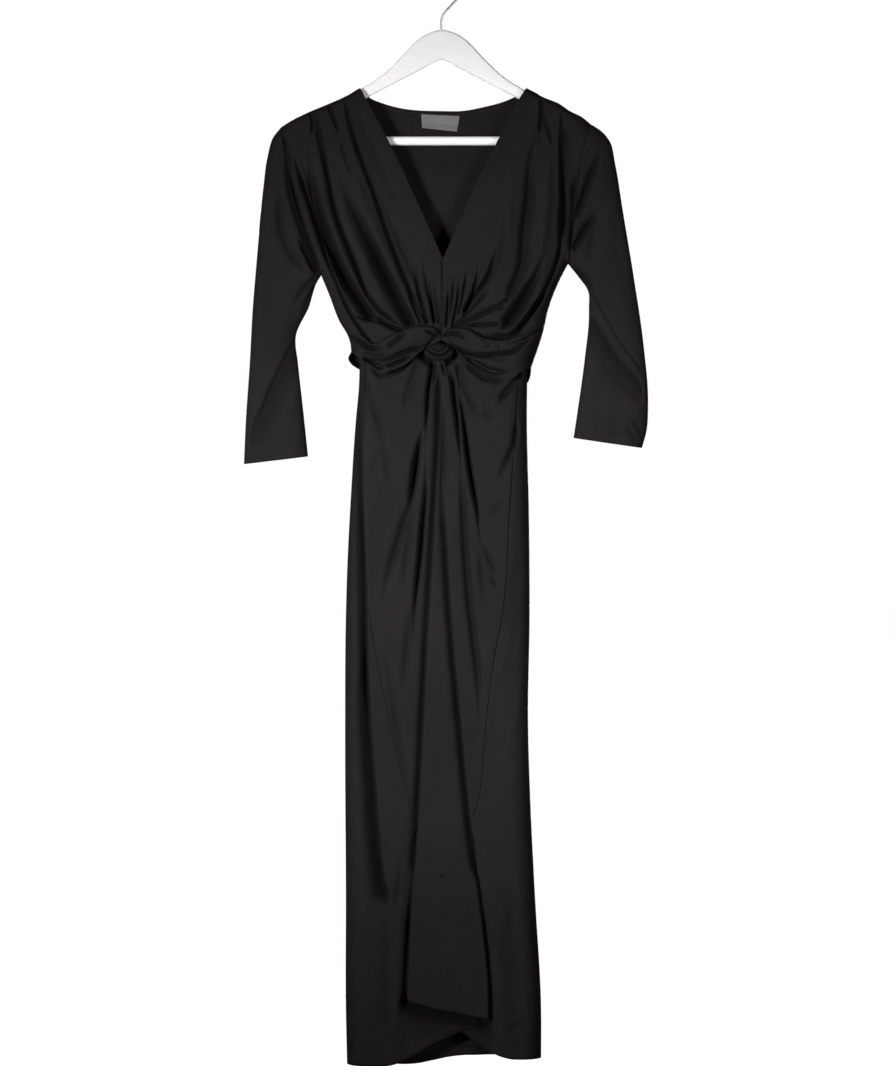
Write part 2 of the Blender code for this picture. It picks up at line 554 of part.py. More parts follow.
def waist_tuck(points):
    """The skirt's top lies in under the twist."""
    return WAIST_TUCK * (1 - ease((points[:, 1] - TUCK_DROP) / TUCK_RUN))


def lift(points):
    """The centre panel stands off the side panels below the split."""
    return waist_tuck(points) - PLEAT_LIFT * ease((points[:, 1] - LIFT_DROP) / LIFT_RUN)


def make_skirt_centre(columns, rows):
    """The draped centre panel, crowded into gathers at its top and free at its foot."""
    work, u, v = grid_mesh(columns, rows)
    across = 2 * u - 1
    gathered = 0.5 + 0.5 * np.sign(across) * np.abs(across) ** GATHER_CROWD
    spread = ease(v / GATHER_SHARE)
    u = gathered * (1 - spread) + u * spread
    points = patch(
        edge((LINES["left_panel_top"], 0.5), (LINES["right_panel_top"], 0.5)),
        edge((LINES["pleat_hem"], 1.0)),
        edge((moved(LINES["left_panel_seam"], SEAM / 2), SEAM_SHARE),
             (moved(LINES["left_pleat_edge"], SEAM / 2), FREE_SHARE)),
        edge((moved(LINES["right_panel_seam"], -SEAM / 2), SEAM_SHARE),
             (moved(LINES["right_pleat_edge"], -SEAM / 2), FREE_SHARE)),
        u, v)
    folds = {**CENTRE_SKIRT_FOLDS, **LEFT_SKIRT_FOLDS}
    outer, inner = cloth(points, False, "skirt", folds, lift)
    return wall_object("skirt_front_centre", work, outer, inner, cloth_material)


def make_skirt_side(side, columns, rows):
    """A side panel whose inner edge follows the curved seam, then runs on under the centre panel."""
    left = side == "left"
    shift = -SEAM / 2 if left else SEAM / 2
    work, u, v = grid_mesh(columns, rows)
    u = u ** SIDE_CROWD
    side_line = LINES[side + "_skirt_side"]
    seam = moved(LINES[side + "_panel_seam"], shift)
    under = moved(LINES[side + "_underlap"], shift)
    top = np.array((side_line[0], seam[0]))
    points = patch(
        edge((top, 1.0)),
        edge((LINES[side + "_hem"], 1.0)),
        edge((side_line, 1.0)),
        edge((seam, SEAM_SHARE), (under, FREE_SHARE)),
        u, v)

    def under_centre(places):
        out = beside_pleat(places)[0 if left else 1]
        low = ease((places[:, 1] - SPLIT_DROP) / LIFT_RUN)
        close = 1 - ease((out - UNDERLAP_START) / UNDERLAP_RUN)
        return waist_tuck(places) + UNDERLAP[0 if left else 1] * low * close

    side_folds = LEFT_SKIRT_FOLDS if left else RIGHT_SKIRT_FOLDS
    folds = {**side_folds, **CENTRE_SKIRT_FOLDS}
    outer, inner = cloth(points, False, "skirt", folds, under_centre)
    return wall_object("skirt_front_" + side, work, outer, inner, cloth_material)


def make_skirt_back(columns, rows):
    work, u, v = grid_mesh(columns, rows)
    u = (1 - np.cos(u * math.pi)) / 2

    def from_drop(line, drop):
        return np.vstack(((np.interp(drop, line[:, 1], line[:, 0]), drop), line[line[:, 1] > drop + 1]))

    left = from_drop(LINES["left_skirt_side"], LINES["back_waist"][0][1] + SEAM)
    right = from_drop(LINES["right_skirt_side"], LINES["back_waist"][-1][1] + SEAM)
    points = patch(
        edge((moved(LINES["back_waist"], 0, SEAM), 1.0)),
        edge((LINES["back_hem"], 1.0)),
        edge((left, 1.0)),
        edge((right, 1.0)),
        u, v)
    outer, inner = cloth(points, True, "skirt", BACK_FOLDS)
    return wall_object("skirt_back", work, outer, inner, cloth_material)


def make_knot():
    """An oval knot whose wraps run round it, lying on the gathers below the twist."""
    work = bmesh.new()
    bmesh.ops.create_uvsphere(work, u_segments=24, v_segments=12, radius=1)
    for corner in work.verts:
        ball = corner.co.copy()
        ring = math.hypot(ball.x, ball.z)
        wrap = 1 + KNOT.wrap_height * math.cos(KNOT.wraps * math.pi * ring) * ring
        reach = KNOT.front if ball.y < 0 else KNOT.behind
        corner.co = (
            (KNOT.across + ball.x * KNOT.half_width) * MM,
            (KNOT.depth + ball.y * reach * wrap) * MM,
            (-KNOT.drop + ball.z * KNOT.half_height) * MM,
        )
    return finish("knot", work, cloth_material)


def make_label():
    """A thin strip lying on the inside of the back, below the neck edge."""
    work, u, v = grid_mesh(6, 2)
    top = np.array(LABEL_TOP, float)
    foot = np.array(LABEL_FOOT, float)
    upper = top[0] + u[:, None] * (top[1] - top[0])
    lower = foot[0] + u[:, None] * (foot[1] - foot[0])
    points = upper + v[:, None] * (lower - upper)
    outer, inner = cloth(points, True, "body", BACK_FOLDS)
    towards = np.array((0, -1, 0)) * MM
    near = inner + towards * LABEL_GAP
    far = near + towards * LABEL_THICK
    return wall_object("neck_label", work, near, far, label_material)


def make_hanger_body():
    """The flat outline, filled and rounded along its edges."""
    outline = list(HANGER_HALF) + [(-across, drop) for across, drop in HANGER_HALF[-2:0:-1]]
    curve = bpy.data.curves.new("hanger_body", "CURVE")
    curve.dimensions = "2D"
    curve.fill_mode = "BOTH"
    spline = curve.splines.new("POLY")
    spline.points.add(len(outline) - 1)
    for point, (across, drop) in zip(spline.points, outline):
        point.co = (across * MM, -drop * MM, 0, 1)
    spline.use_cyclic_u = True
    curve.extrude = (WOOD_THICK / 2 - WOOD_ROUND) * MM
    curve.bevel_depth = WOOD_ROUND * MM
    curve.bevel_resolution = 1
    curve.offset = -WOOD_ROUND * MM
    curve.materials.append(wood_material)
    body = bpy.data.objects.new("hanger_body", curve)
    body.rotation_euler = (math.pi / 2, 0, 0)
    parts.objects.link(body)
    return body


def make_hanger_bar():
    work = bmesh.new()
    bmesh.ops.create_cone(work, cap_ends=True, segments=16, radius1=BAR_RADIUS * MM, radius2=BAR_RADIUS * MM,
                          depth=2 * BAR_END * MM)
    bar = finish("hanger_bar", work, wood_material)
    bar.location = (0, 0, -BAR_DROP * MM)
    bar.rotation_euler = (0, math.pi / 2, 0)
    bar.data.set_sharp_from_angle(angle=math.radians(SHARP_ANGLE))
    return bar


def make_hook():
    """Wire that leans out of its stem and rounds over to an open end."""
    top = HOOK_RADIUS - WIRE_RADIUS
    route = [(across, -drop) for across, drop in HOOK_STEM]
    for step in range(HOOK_STEPS + 1):
        angle = math.radians(HOOK_FROM + (HOOK_TO - HOOK_FROM) * step / HOOK_STEPS)
        route.append((HOOK_RADIUS * math.cos(angle), -top + HOOK_RADIUS * math.sin(angle)))
    curve = bpy.data.curves.new("hanger_hook", "CURVE")
    curve.dimensions = "3D"
    spline = curve.splines.new("POLY")
    spline.points.add(len(route) - 1)
    for point, (across, up) in zip(spline.points, route):
        point.co = (across * MM, 0, up * MM, 1)
    curve.bevel_depth = WIRE_RADIUS * MM
    curve.bevel_resolution = 2
    curve.use_fill_caps = True
    curve.materials.append(wire_material)
    hook = bpy.data.objects.new("hanger_hook", curve)
    parts.objects.link(hook)
    return hook


make_front_bodice("left", columns=26, rows=20)
make_front_bodice("right", columns=26, rows=20)
make_back_bodice(columns=20, rows=20)
make_sleeve("left", around=24, rows=15)
make_sleeve("right", around=24, rows=15)
make_skirt_centre(columns=22, rows=30)
make_skirt_side("left", columns=8, rows=30)
make_skirt_side("right", columns=8, rows=30)
make_skirt_back(columns=14, rows=14)
make_knot()
make_label()
make_hanger_body()
make_hanger_bar()
make_hook()
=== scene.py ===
import math

import bmesh
import bpy
import numpy as np
from mathutils import Matrix, Vector


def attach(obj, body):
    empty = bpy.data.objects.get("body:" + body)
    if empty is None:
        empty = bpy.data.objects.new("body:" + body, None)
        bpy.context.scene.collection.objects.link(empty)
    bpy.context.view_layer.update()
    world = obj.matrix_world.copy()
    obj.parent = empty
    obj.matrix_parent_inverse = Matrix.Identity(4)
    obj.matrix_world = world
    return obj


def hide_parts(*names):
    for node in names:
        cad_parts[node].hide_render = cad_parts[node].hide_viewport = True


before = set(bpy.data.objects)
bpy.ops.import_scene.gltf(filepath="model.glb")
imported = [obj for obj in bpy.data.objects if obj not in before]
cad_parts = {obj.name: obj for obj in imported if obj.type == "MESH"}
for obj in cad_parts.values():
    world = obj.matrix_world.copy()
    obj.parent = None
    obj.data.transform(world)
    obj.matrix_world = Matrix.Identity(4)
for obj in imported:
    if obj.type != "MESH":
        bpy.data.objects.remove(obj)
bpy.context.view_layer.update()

mm = 0.001
print("frame loaded")

# Places on the cloth are (across, drop) in millimetres from the inside top of the hook.
# Left and right are as seen from the front.

form = {
    "wall": 0.9,              # thickness of the shown cloth
    "seam": 0.3,              # space between two sewn edges
    "halfGap": 0.15,          # from the mid-plane to each half
    "underSeam": 2.4,         # how far one side of a seam runs on under the other
    "underDepth": 1.05,       # how much deeper it lies there
    "cornerTuck": 3.5,        # how far the top of a sleeve runs in along the shoulder
    "sideRoll": 26.0,         # how far in from a side the cloth has turned flat
    "shoulderRoll": 10.0,     # the same from the shoulder line
    "sleeveFront": 14.0,      # depth of a sleeve's front
    "sleeveBack": 12.0,       # depth of its back
    "sleeveStart": 0.002,     # share of the sleeve's length left free at the armhole
    "bodyEdge": 125.0,        # across, where the body's depth starts to turn into the sleeve's
    "sleeveEdge": 195.0,      # across, where it has done so
    "backRoom": 10.5,         # depth that the back keeps over the hanger
    "backRoomLess": 8.0,      # how much of it the back gives up below the hanger
    "backRoomDrop": 225.0,    # drop where it starts to give it up
    "backRoomRun": 40.0,      # over this length
    "waistTuck": 7.0,         # how far the skirt's top lies in under the twist
    "tuckDrop": 525.0,        # drop where it starts to come out
    "tuckRun": 60.0,          # over this length
    "pleatLift": 3.6,         # how far the free pleat stands out at its foot
    "liftDrop": 1092.0,       # drop where it starts to stand out
    "liftRun": 150.0,         # over this length
    "splitDrop": 1106.0,      # drop where the pleat comes free
    "underlapRun": 40.0,      # length over which the side panels settle under it
    "underlapFade": 18.0,     # how far out from the pleat's edge they come up again
    "underlap": {"left": 3.0, "right": 6.0},
}

# drop, depth of the front, depth of the back, least depth that a fold leaves
bodyDepth = (
    (153, 14, 13, 10.5),
    (200, 15, 13, 10.5),
    (240, 18, 14, 10.5),
    (280, 22, 14, 7),
    (330, 27, 15, 7),
    (400, 31, 17, 8),
    (470, 33, 18, 10),
    (540, 32, 18, 10),
    (700, 29, 18, 10),
    (1000, 30, 19, 10),
    (1425, 31, 20, 10),
)

# Outlines, closed where the front meets the back
closedLines = {
    "leftShoulder": ((-209, 203), (-198, 196), (-172, 183), (-148, 173), (-120, 160), (-109, 153)),
    "rightShoulder": ((193, 199), (182, 190), (166, 182), (151, 172), (136, 166), (109, 153)),
    "leftArmOuter": ((-209, 203), (-220, 217), (-226, 238), (-231, 274), (-238, 347), (-246, 438),
                       (-250, 511), (-255, 584), (-257.5, 641)),
    "leftArmInner": ((-157, 396), (-161, 402), (-173, 437), (-190, 475), (-187, 511), (-181, 565),
                       (-174, 631)),
    "rightArmOuter": ((193, 199), (207, 208), (218, 221), (225, 250), (235, 311), (250, 402),
                        (262, 485), (268, 565), (266, 598), (260, 620)),
    "rightArmInner": ((164, 381), (180, 401), (189, 414), (191, 447), (186, 500), (178, 560), (171, 607)),
    "leftSide": ((-157, 396), (-147, 420), (-133, 456), (-122, 475), (-119, 485), (-118, 495)),
    "rightSide": ((164, 381), (153, 402), (139, 438), (130, 475), (124, 493), (116, 516)),
    "leftWaistSide": ((-118, 495), (-122, 504), (-118, 511), (-108, 518)),
    "rightWaistSide": ((116, 516), (115, 526), (112, 535)),
    "leftSkirtSide": ((-107, 502), (-108, 540), (-112, 584), (-118, 675), (-123.5, 784), (-125, 838),
                        (-126, 1000), (-125, 1200), (-125, 1350), (-123.5, 1420)),
    "rightSkirtSide": ((111, 517), (110.5, 584), (113, 700), (114, 838), (112, 975), (115, 1080),
                         (121, 1202), (129, 1350), (129, 1412)),
}
# Seams, hems and other edges
openLines = {
    "leftArmhole": ((-209, 203), (-204, 240), (-195, 285), (-180, 334), (-166, 372), (-157, 396)),
    "rightArmhole": ((193, 199), (183, 233), (177, 272), (174, 311), (167, 350), (164, 381)),
    "leftNeck": ((-109, 153), (-100, 169), (-75, 216), (-49, 269), (-26, 320), (0, 378)),
    "rightNeck": ((109, 153), (99, 169), (75, 216), (39, 287), (19, 334), (0, 378)),
    "centreSeam": ((0, 378), (0, 430), (-1, 481)),
    "backNeck": ((-109, 153), (-92, 165), (-77, 171), (-55, 177), (0, 181), (30, 180.5), (53, 176),
                  (75, 170.5), (92, 164), (109, 153)),
    "leftTwistFoot": ((-118, 495), (-107, 505), (-92, 514), (-82, 524), (-65, 520), (-49, 513), (-31, 497),
                        (-18, 488), (-1, 481)),
    "rightTwistFoot": ((116, 516), (101, 523), (90, 531), (74, 531), (56, 525), (36, 512),
                         (18, 494), (-1, 481)),
    "backWaist": ((-108, 518), (-50, 522), (0, 524), (60, 529), (112, 535)),
    "leftPanelTop": ((-103, 504), (-80, 504), (-49, 496), (-22, 487), (-1, 487)),
    "rightPanelTop": ((-1, 487), (16, 489), (34, 500), (60, 514), (100, 516)),
    "leftPanelSeam": ((-100, 504), (-103, 610), (-102, 740), (-96, 818), (-79, 919), (-56, 1020),
                        (-34, 1106)),
    "rightPanelSeam": ((100, 516), (96, 584), (87, 714), (81, 818), (64, 916), (55, 1005),
                         (48, 1072), (38, 1106)),
    "leftPleatEdge": ((-34, 1106), (-38, 1175), (-43, 1270), (-45.5, 1336)),
    "rightPleatEdge": ((38, 1106), (44, 1170), (53, 1240), (60, 1310), (61, 1360)),
    "pleatHem": ((-45.5, 1336), (-21, 1343), (26, 1353), (61, 1360)),
    "leftUnderlap": ((-34, 1106), (-36.5, 1135), (-25, 1160), (10, 1215), (38, 1290), (48, 1369)),
    "rightUnderlap": ((38, 1106), (43, 1135), (36, 1160), (22, 1210), (13, 1290), (14, 1370)),
    "leftHem": ((-123.5, 1420), (-99, 1421), (-69, 1420), (-44, 1411), (-21, 1397), (3, 1385),
                 (26, 1375), (48, 1369)),
    "rightHem": ((129, 1412), (112, 1412), (87, 1411), (69, 1405), (49, 1392), (31, 1379), (14, 1370)),
    "backHem": ((-123.5, 1420), (-80, 1422), (-40, 1423), (14, 1413), (129, 1412)),
}


# A fold is a soft trough along its route, or a ridge where its depth is below nothing. Each side of it has
# its own width: "west" is on the left of a route that runs down, and below one that runs to the right.
def fold(depth, west, east, fadeIn, fadeOut, *route):
    return {"depth": depth, "west": west, "east": east, "fadeIn": fadeIn, "fadeOut": fadeOut, "route": route}


leftBodiceFolds = {
    "neckShade": fold(2, 8, 8, 0.3, 0.3, (-114, 176), (-81, 246), (-52, 318)),
    "firstPleat": fold(6.5, 3.5, 2, 0.08, 0.1, (-126, 166), (-117, 204), (-107, 238), (-94, 272),
        (-70, 342), (-47, 402), (-31, 438), (-18, 464)),
    "firstTube": fold(-3, 8, 6, 0.3, 0.3, (-120, 246), (-107, 285), (-86, 337), (-57, 402), (-39, 438)),
    "firstHollow": fold(3.5, 5, 7, 0.4, 0.1, (-101, 233), (-86, 280), (-65, 332), (-42, 381), (-23, 422)),
    "secondNick": fold(5, 2.5, 3.5, 0.1, 0.5, (-148, 173), (-138, 199), (-131, 220)),
    "secondNickLong": fold(2.4, 3, 5, 0.2, 0.5, (-131, 220), (-124, 246), (-114, 277)),
    "secondPleat": fold(17, 10, 4, 0.7, 0.03, (-140, 246), (-120, 295), (-99, 337), (-83, 370), (-68, 402),
        (-51, 436), (-36, 464)),
    "secondTube": fold(-4, 6, 7, 0.3, 0.2, (-135, 285), (-125, 318), (-101, 376), (-73, 433)),
    "thirdPleat": fold(8, 4, 2, 0.1, 0.1, (-164, 181), (-148, 266), (-138, 313), (-114, 376), (-86, 436),
        (-68, 451), (-46, 468)),
    "thirdEnd": fold(9, 3.5, 2, 0.3, 0.1, (-90, 447), (-75, 457), (-62, 465), (-49, 470)),
    "thirdTube": fold(-3.5, 5, 5, 0.3, 0.2, (-161, 259), (-146, 324), (-120, 389), (-92, 441)),
    "fourthNick": fold(5, 2, 3, 0.1, 0.5, (-172, 185), (-168, 196), (-172, 220)),
    "fourthPleat": fold(19, 8, 5, 0.5, 0.04, (-173, 220), (-170, 259), (-156, 324), (-130, 389),
        (-101, 436), (-86, 458)),
    "fourthTube": fold(-3, 4, 4, 0.3, 0.2, (-185, 259), (-170, 313), (-152, 365), (-131, 415), (-112, 446)),
    "fifthPleat": fold(8, 3, 1.8, 0.2, 0.1, (-195, 233), (-177, 287), (-161, 339), (-140, 399),
        (-114, 454), (-88, 488)),
    "fifthHollow": fold(4, 5, 6, 0.3, 0.1, (-187, 233), (-172, 280), (-159, 332), (-140, 381), (-120, 422)),
    "outerRoll": fold(-5, 7, 6, 0.3, 0.1, (-203, 217), (-187, 287), (-166, 365), (-146, 428), (-124, 469),
        (-99, 485), (-87, 489)),
    "outerShort": fold(4, 1.6, 4, 0.15, 0.5, (-207, 212), (-202, 235), (-192, 272)),
    "underBust": fold(3, 1.4, 1.4, 0.1, 0.1, (-116, 450), (-94, 455), (-70, 462), (-47, 469)),
    "gatherOne": fold(8, 2.6, 2.6, 0.6, 0.1, (-36, 378), (-31, 415), (-23, 446), (-18, 464)),
    "gatherTwo": fold(5, 1.6, 2, 0.5, 0.1, (-26, 365), (-21, 407), (-14, 438), (-10, 464)),
    "gatherThree": fold(5, 1.5, 1.6, 0.5, 0.1, (-18, 391), (-14, 428), (-9, 462)),
    "gatherFour": fold(4, 1.5, 1.4, 0.5, 0.1, (-10, 399), (-8, 433), (-5, 462)),
    "gatherFive": fold(5, 2, 2, 0.5, 0.1, (-48, 399), (-38, 433), (-26, 462)),
    "gatherSix": fold(3.5, 1.2, 1.2, 0.5, 0.15, (-5, 415), (-4, 441), (-3, 464)),
    "twistTop": fold(-9, 36, 1.6, 0.12, 0.08, (-109, 469), (-99, 481), (-87, 488), (-74, 482), (-65, 477),
        (-47, 469), (-34, 465), (-18, 465), (-8, 468), (-1, 476)),
    "twistUnderTube": fold(11, 4, 3, 0.4, 0.4, (-126, 469), (-116, 477), (-105, 484), (-95, 490),
        (-84, 493), (-75, 493), (-68, 492)),
    "twistLineOne": fold(2.6, 1.5, 1.5, 0.3, 0.2, (-107, 493), (-96, 497), (-86, 499), (-70, 499)),
    "twistLineTwo": fold(2.6, 1.5, 1.5, 0.3, 0.2, (-110, 495), (-99, 500), (-84, 502), (-68, 502)),
    "twistFirst": fold(5.5, 1.5, 5, 0.32, 0.3, (-75, 494), (-68, 491), (-60, 486), (-52, 478), (-43, 470)),
    "twistSecond": fold(9, 3.2, 1.7, 0.3, 0.48, (-68, 501), (-55, 498), (-42, 494), (-29, 491), (-16, 486),
        (-5, 482)),
    "twistThird": fold(7, 1.8, 2.6, 0.32, 0.48, (-96, 505), (-84, 507), (-73, 507), (-62, 504), (-49, 500),
        (-32, 495)),
    "twistWedge": fold(14, 3.6, 2.8, 0.32, 0.32, (-107, 502), (-98, 506), (-88, 511), (-79, 516),
        (-70, 518)),
    "twistWedgeRight": fold(9, 2, 2.8, 0.32, 0.32, (-78, 515), (-66, 514), (-56, 510), (-47, 505),
        (-36, 498)),
    "twistShoulder": fold(7, 1.8, 1.8, 0.4, 0.3, (-26, 469), (-17, 471), (-10, 474), (-3, 479)),
    "twistShoulderShort": fold(3, 1.2, 1.2, 0.3, 0.1, (-10, 467), (-5, 471), (-1, 474)),
    "twistSwell": fold(-2.5, 5, 6, 0.3, 0.3, (-57, 490), (-42, 484), (-23, 478), (-10, 478)),
}
leftArmFolds = {
    "armholeShadow": fold(12, 5, 4, 0.4, 0.05, (-205, 222), (-196, 280), (-182, 330), (-160, 391)),
    "capSoft": fold(4.5, 6, 6, 0.4, 0.2, (-213, 265), (-198, 363), (-169, 399)),
    "capShort": fold(7, 4, 2.4, 0.3, 0.1, (-187, 346), (-174, 370), (-162, 393)),
    "underarmFan": fold(5, 4, 3, 0.1, 0.6, (-162, 398), (-181, 417), (-195, 443)),
    "underarmFanTwo": fold(3, 3, 3, 0.1, 0.6, (-164, 406), (-177, 434), (-187, 467)),
    "sleeveTurn": fold(12, 1.8, 20, 0.1, 0.2, (-190, 477), (-207, 512), (-222, 543), (-231, 566),
        (-243, 590), (-247, 625)),
    "armpitDark": fold(9, 7, 3, 0.4, 0.05, (-183, 342), (-173, 363), (-164, 384), (-159, 400)),
    "elbowSoft": fold(1.6, 6, 8, 0.4, 0.4, (-234, 363), (-226, 428), (-234, 493)),
}
rightBodiceFolds = {
    "shoulderNick": fold(7, 2.5, 3, 0.1, 0.3, (129, 166), (129, 188), (126, 214)),
    "nickBranch": fold(3.5, 2.5, 3, 0.2, 0.5, (130, 186), (138, 209), (146, 238)),
    "nickSoft": fold(2, 4, 4, 0.2, 0.5, (129, 199), (127, 226), (124, 251)),
    "softPleat": fold(9, 6, 8, 0.4, 0.1, (126, 195), (114, 259), (112, 298), (107, 334), (101, 391),
        (88, 422), (83, 437)),
    "greatPleat": fold(12, 2.2, 5.5, 0.3, 0.3, (155, 178), (155, 233), (155, 285), (154, 326)),
    "armWedge": fold(15, 3, 9, 0.4, 0.4, (157, 277), (156, 304), (154, 334), (151, 365)),
    "greatLine": fold(8, 1.8, 3.4, 0.2, 0.15, (154, 344), (149, 376), (139, 403), (125, 428), (109, 450)),
    "armPanel": fold(4.5, 8, 8, 0.2, 0.4, (162, 196), (164, 246), (164, 306)),
    "greatTube": fold(-3.5, 6, 6, 0.3, 0.2, (140, 233), (135, 311), (125, 378), (107, 415)),
    "hollow": fold(18, 8, 5, 0.6, 0.14, (135, 363), (118, 407), (101, 436), (88, 455), (75, 469)),
    "midTube": fold(-3, 8, 7, 0.4, 0.3, (91, 246), (86, 324), (75, 389), (61, 428)),
    "fanLong": fold(8, 3, 3, 0.5, 0.1, (74, 350), (55, 407), (38, 429), (26, 450)),
    "fanShort": fold(5, 2.2, 2.2, 0.4, 0.1, (65, 410), (49, 430), (38, 441), (25, 454)),
    "fanWide": fold(3, 4, 4, 0.5, 0.2, (86, 298), (73, 378), (57, 415)),
    "tuckEdge": fold(7, 2, 4.5, 0.1, 0.1, (10, 467), (23, 460), (36, 456), (49, 450), (60, 445), (69, 440),
        (83, 439)),
    "tuckCorner": fold(5, 1.8, 1.8, 0.3, 0.2, (72, 436), (79, 432), (87, 426)),
    "darkWedge": fold(9, 2.4, 2, 0.3, 0.15, (26, 462), (39, 461), (55, 461), (69, 460), (78, 461)),
    "bandCrest": fold(-5, 2.6, 2.6, 0.3, 0.2, (62, 466), (74, 469), (81, 471), (90, 468), (99, 458),
        (109, 446), (120, 433), (133, 412)),
    "bandLower": fold(12, 2, 5, 0.25, 0.2, (44, 473), (55, 477), (66, 479), (79, 478), (91, 476),
        (99, 469), (108, 459), (118, 445), (129, 429), (138, 412)),
    "bandThin": fold(3, 1.3, 2, 0.2, 0.2, (36, 468), (44, 473), (52, 478), (62, 481)),
    "bandSeam": fold(3, 1.3, 1.3, 0.3, 0.1, (73, 486), (88, 486), (101, 482), (114, 476), (125, 469),
        (133, 465)),
    "outerEdge": fold(-3, 3, 3, 0.2, 0.2, (166, 350), (164, 381), (143, 425), (127, 473)),
    "gatherOne": fold(6, 1.3, 1.4, 0.6, 0.1, (1, 407), (1, 438), (1, 467)),
    "gatherTwo": fold(7, 1.5, 1.8, 0.6, 0.1, (9, 400), (7, 438), (5, 467)),
    "gatherThree": fold(5, 1.4, 1.4, 0.5, 0.2, (17, 386), (13, 425), (9, 459)),
    "gatherFour": fold(6, 1.5, 1.8, 0.6, 0.1, (23, 389), (20, 428), (13, 463)),
    "gatherFive": fold(5, 1.5, 1.5, 0.5, 0.1, (34, 378), (27, 422), (20, 452)),
    "gatherSix": fold(8, 2, 2.2, 0.6, 0.1, (49, 378), (39, 422), (27, 448)),
    "twistTop": fold(-9, 38, 1.6, 0.1, 0.3, (-1, 476), (5, 471), (14, 468), (26, 467), (40, 471),
        (55, 478), (66, 482), (90, 481), (107, 473), (124, 456)),
    "twistShoulder": fold(9, 1.8, 3.4, 0.15, 0.7, (0, 478), (6, 474), (14, 474), (22, 475), (30, 480),
        (42, 486)),
    "crumpleOne": fold(2.6, 1.4, 1.4, 0.3, 0.3, (49, 480), (55, 483), (60, 486)),
    "crumpleTwo": fold(2.6, 1.5, 1.5, 0.3, 0.4, (64, 484), (60, 489), (51, 492)),
    "crumpleThree": fold(2.2, 1.4, 1.4, 0.3, 0.4, (75, 486), (74, 489), (70, 491)),
    "twistMiddle": fold(12, 3, 1.8, 0.2, 0.3, (1, 482), (13, 488), (23, 493), (34, 498), (44, 500),
        (55, 500), (65, 499), (75, 498), (87, 497), (99, 493), (109, 486), (118, 480)),
    "twistMiddleDark": fold(4, 2, 5, 0.48, 0.32, (88, 494), (101, 489), (112, 482), (120, 474)),
    "twistSub": fold(3, 3, 2.4, 0.48, 0.48, (44, 502), (62, 504), (75, 506), (86, 510), (94, 515)),
    "twistLast": fold(13, 3, 3, 0.25, 0.4, (23, 497), (32, 504), (42, 510), (51, 515), (61, 520),
        (72, 522), (84, 522), (98, 520)),
    "twistLastLine": fold(3.5, 1.3, 1.5, 0.2, 0.3, (23, 504), (32, 512), (43, 517), (53, 524), (64, 527),
        (77, 528), (87, 526)),
    "sideDark": fold(4, 5, 5, 0.3, 0.2, (114, 521), (117, 508), (122, 493), (129, 477)),
}
rightArmFolds = {
    "armholeShadow": fold(7, 5, 1.6, 0.3, 0.3, (176, 252), (172, 285), (170, 317), (168, 350), (164, 378)),
    "capLong": fold(8, 4.5, 4, 0.4, 0.04, (209, 228), (202, 248), (191, 274), (181, 303), (174, 322)),
    "capShort": fold(9, 4.5, 4.5, 0.4, 0.04, (204, 309), (192, 329), (182, 344), (169, 363)),
    "capLow": fold(3, 5, 5, 0.4, 0.4, (202, 318), (196, 344), (190, 378)),
    "underarmDark": fold(9, 5, 5, 0.15, 0.5, (162, 384), (176, 394), (188, 404), (192, 428)),
    "seamLine": fold(2.2, 1.4, 1.4, 0.1, 0.1, (190, 411), (208, 442), (231, 482), (250, 507), (263, 524)),
    "sleeveTurn": fold(13, 17, 1.8, 0.1, 0.2, (191, 445), (212, 478), (233, 510), (256, 536), (260, 568)),
    "elbowSoft": fold(1.6, 8, 8, 0.4, 0.4, (221, 298), (231, 376), (242, 441)),
    "cuffCrumple": fold(2.4, 3, 3, 0.3, 0.3, (246, 580), (254, 594), (261, 610)),
    "cuffCrumpleTwo": fold(2, 2.5, 2.5, 0.3, 0.3, (237, 589), (247, 602), (257, 615)),
}
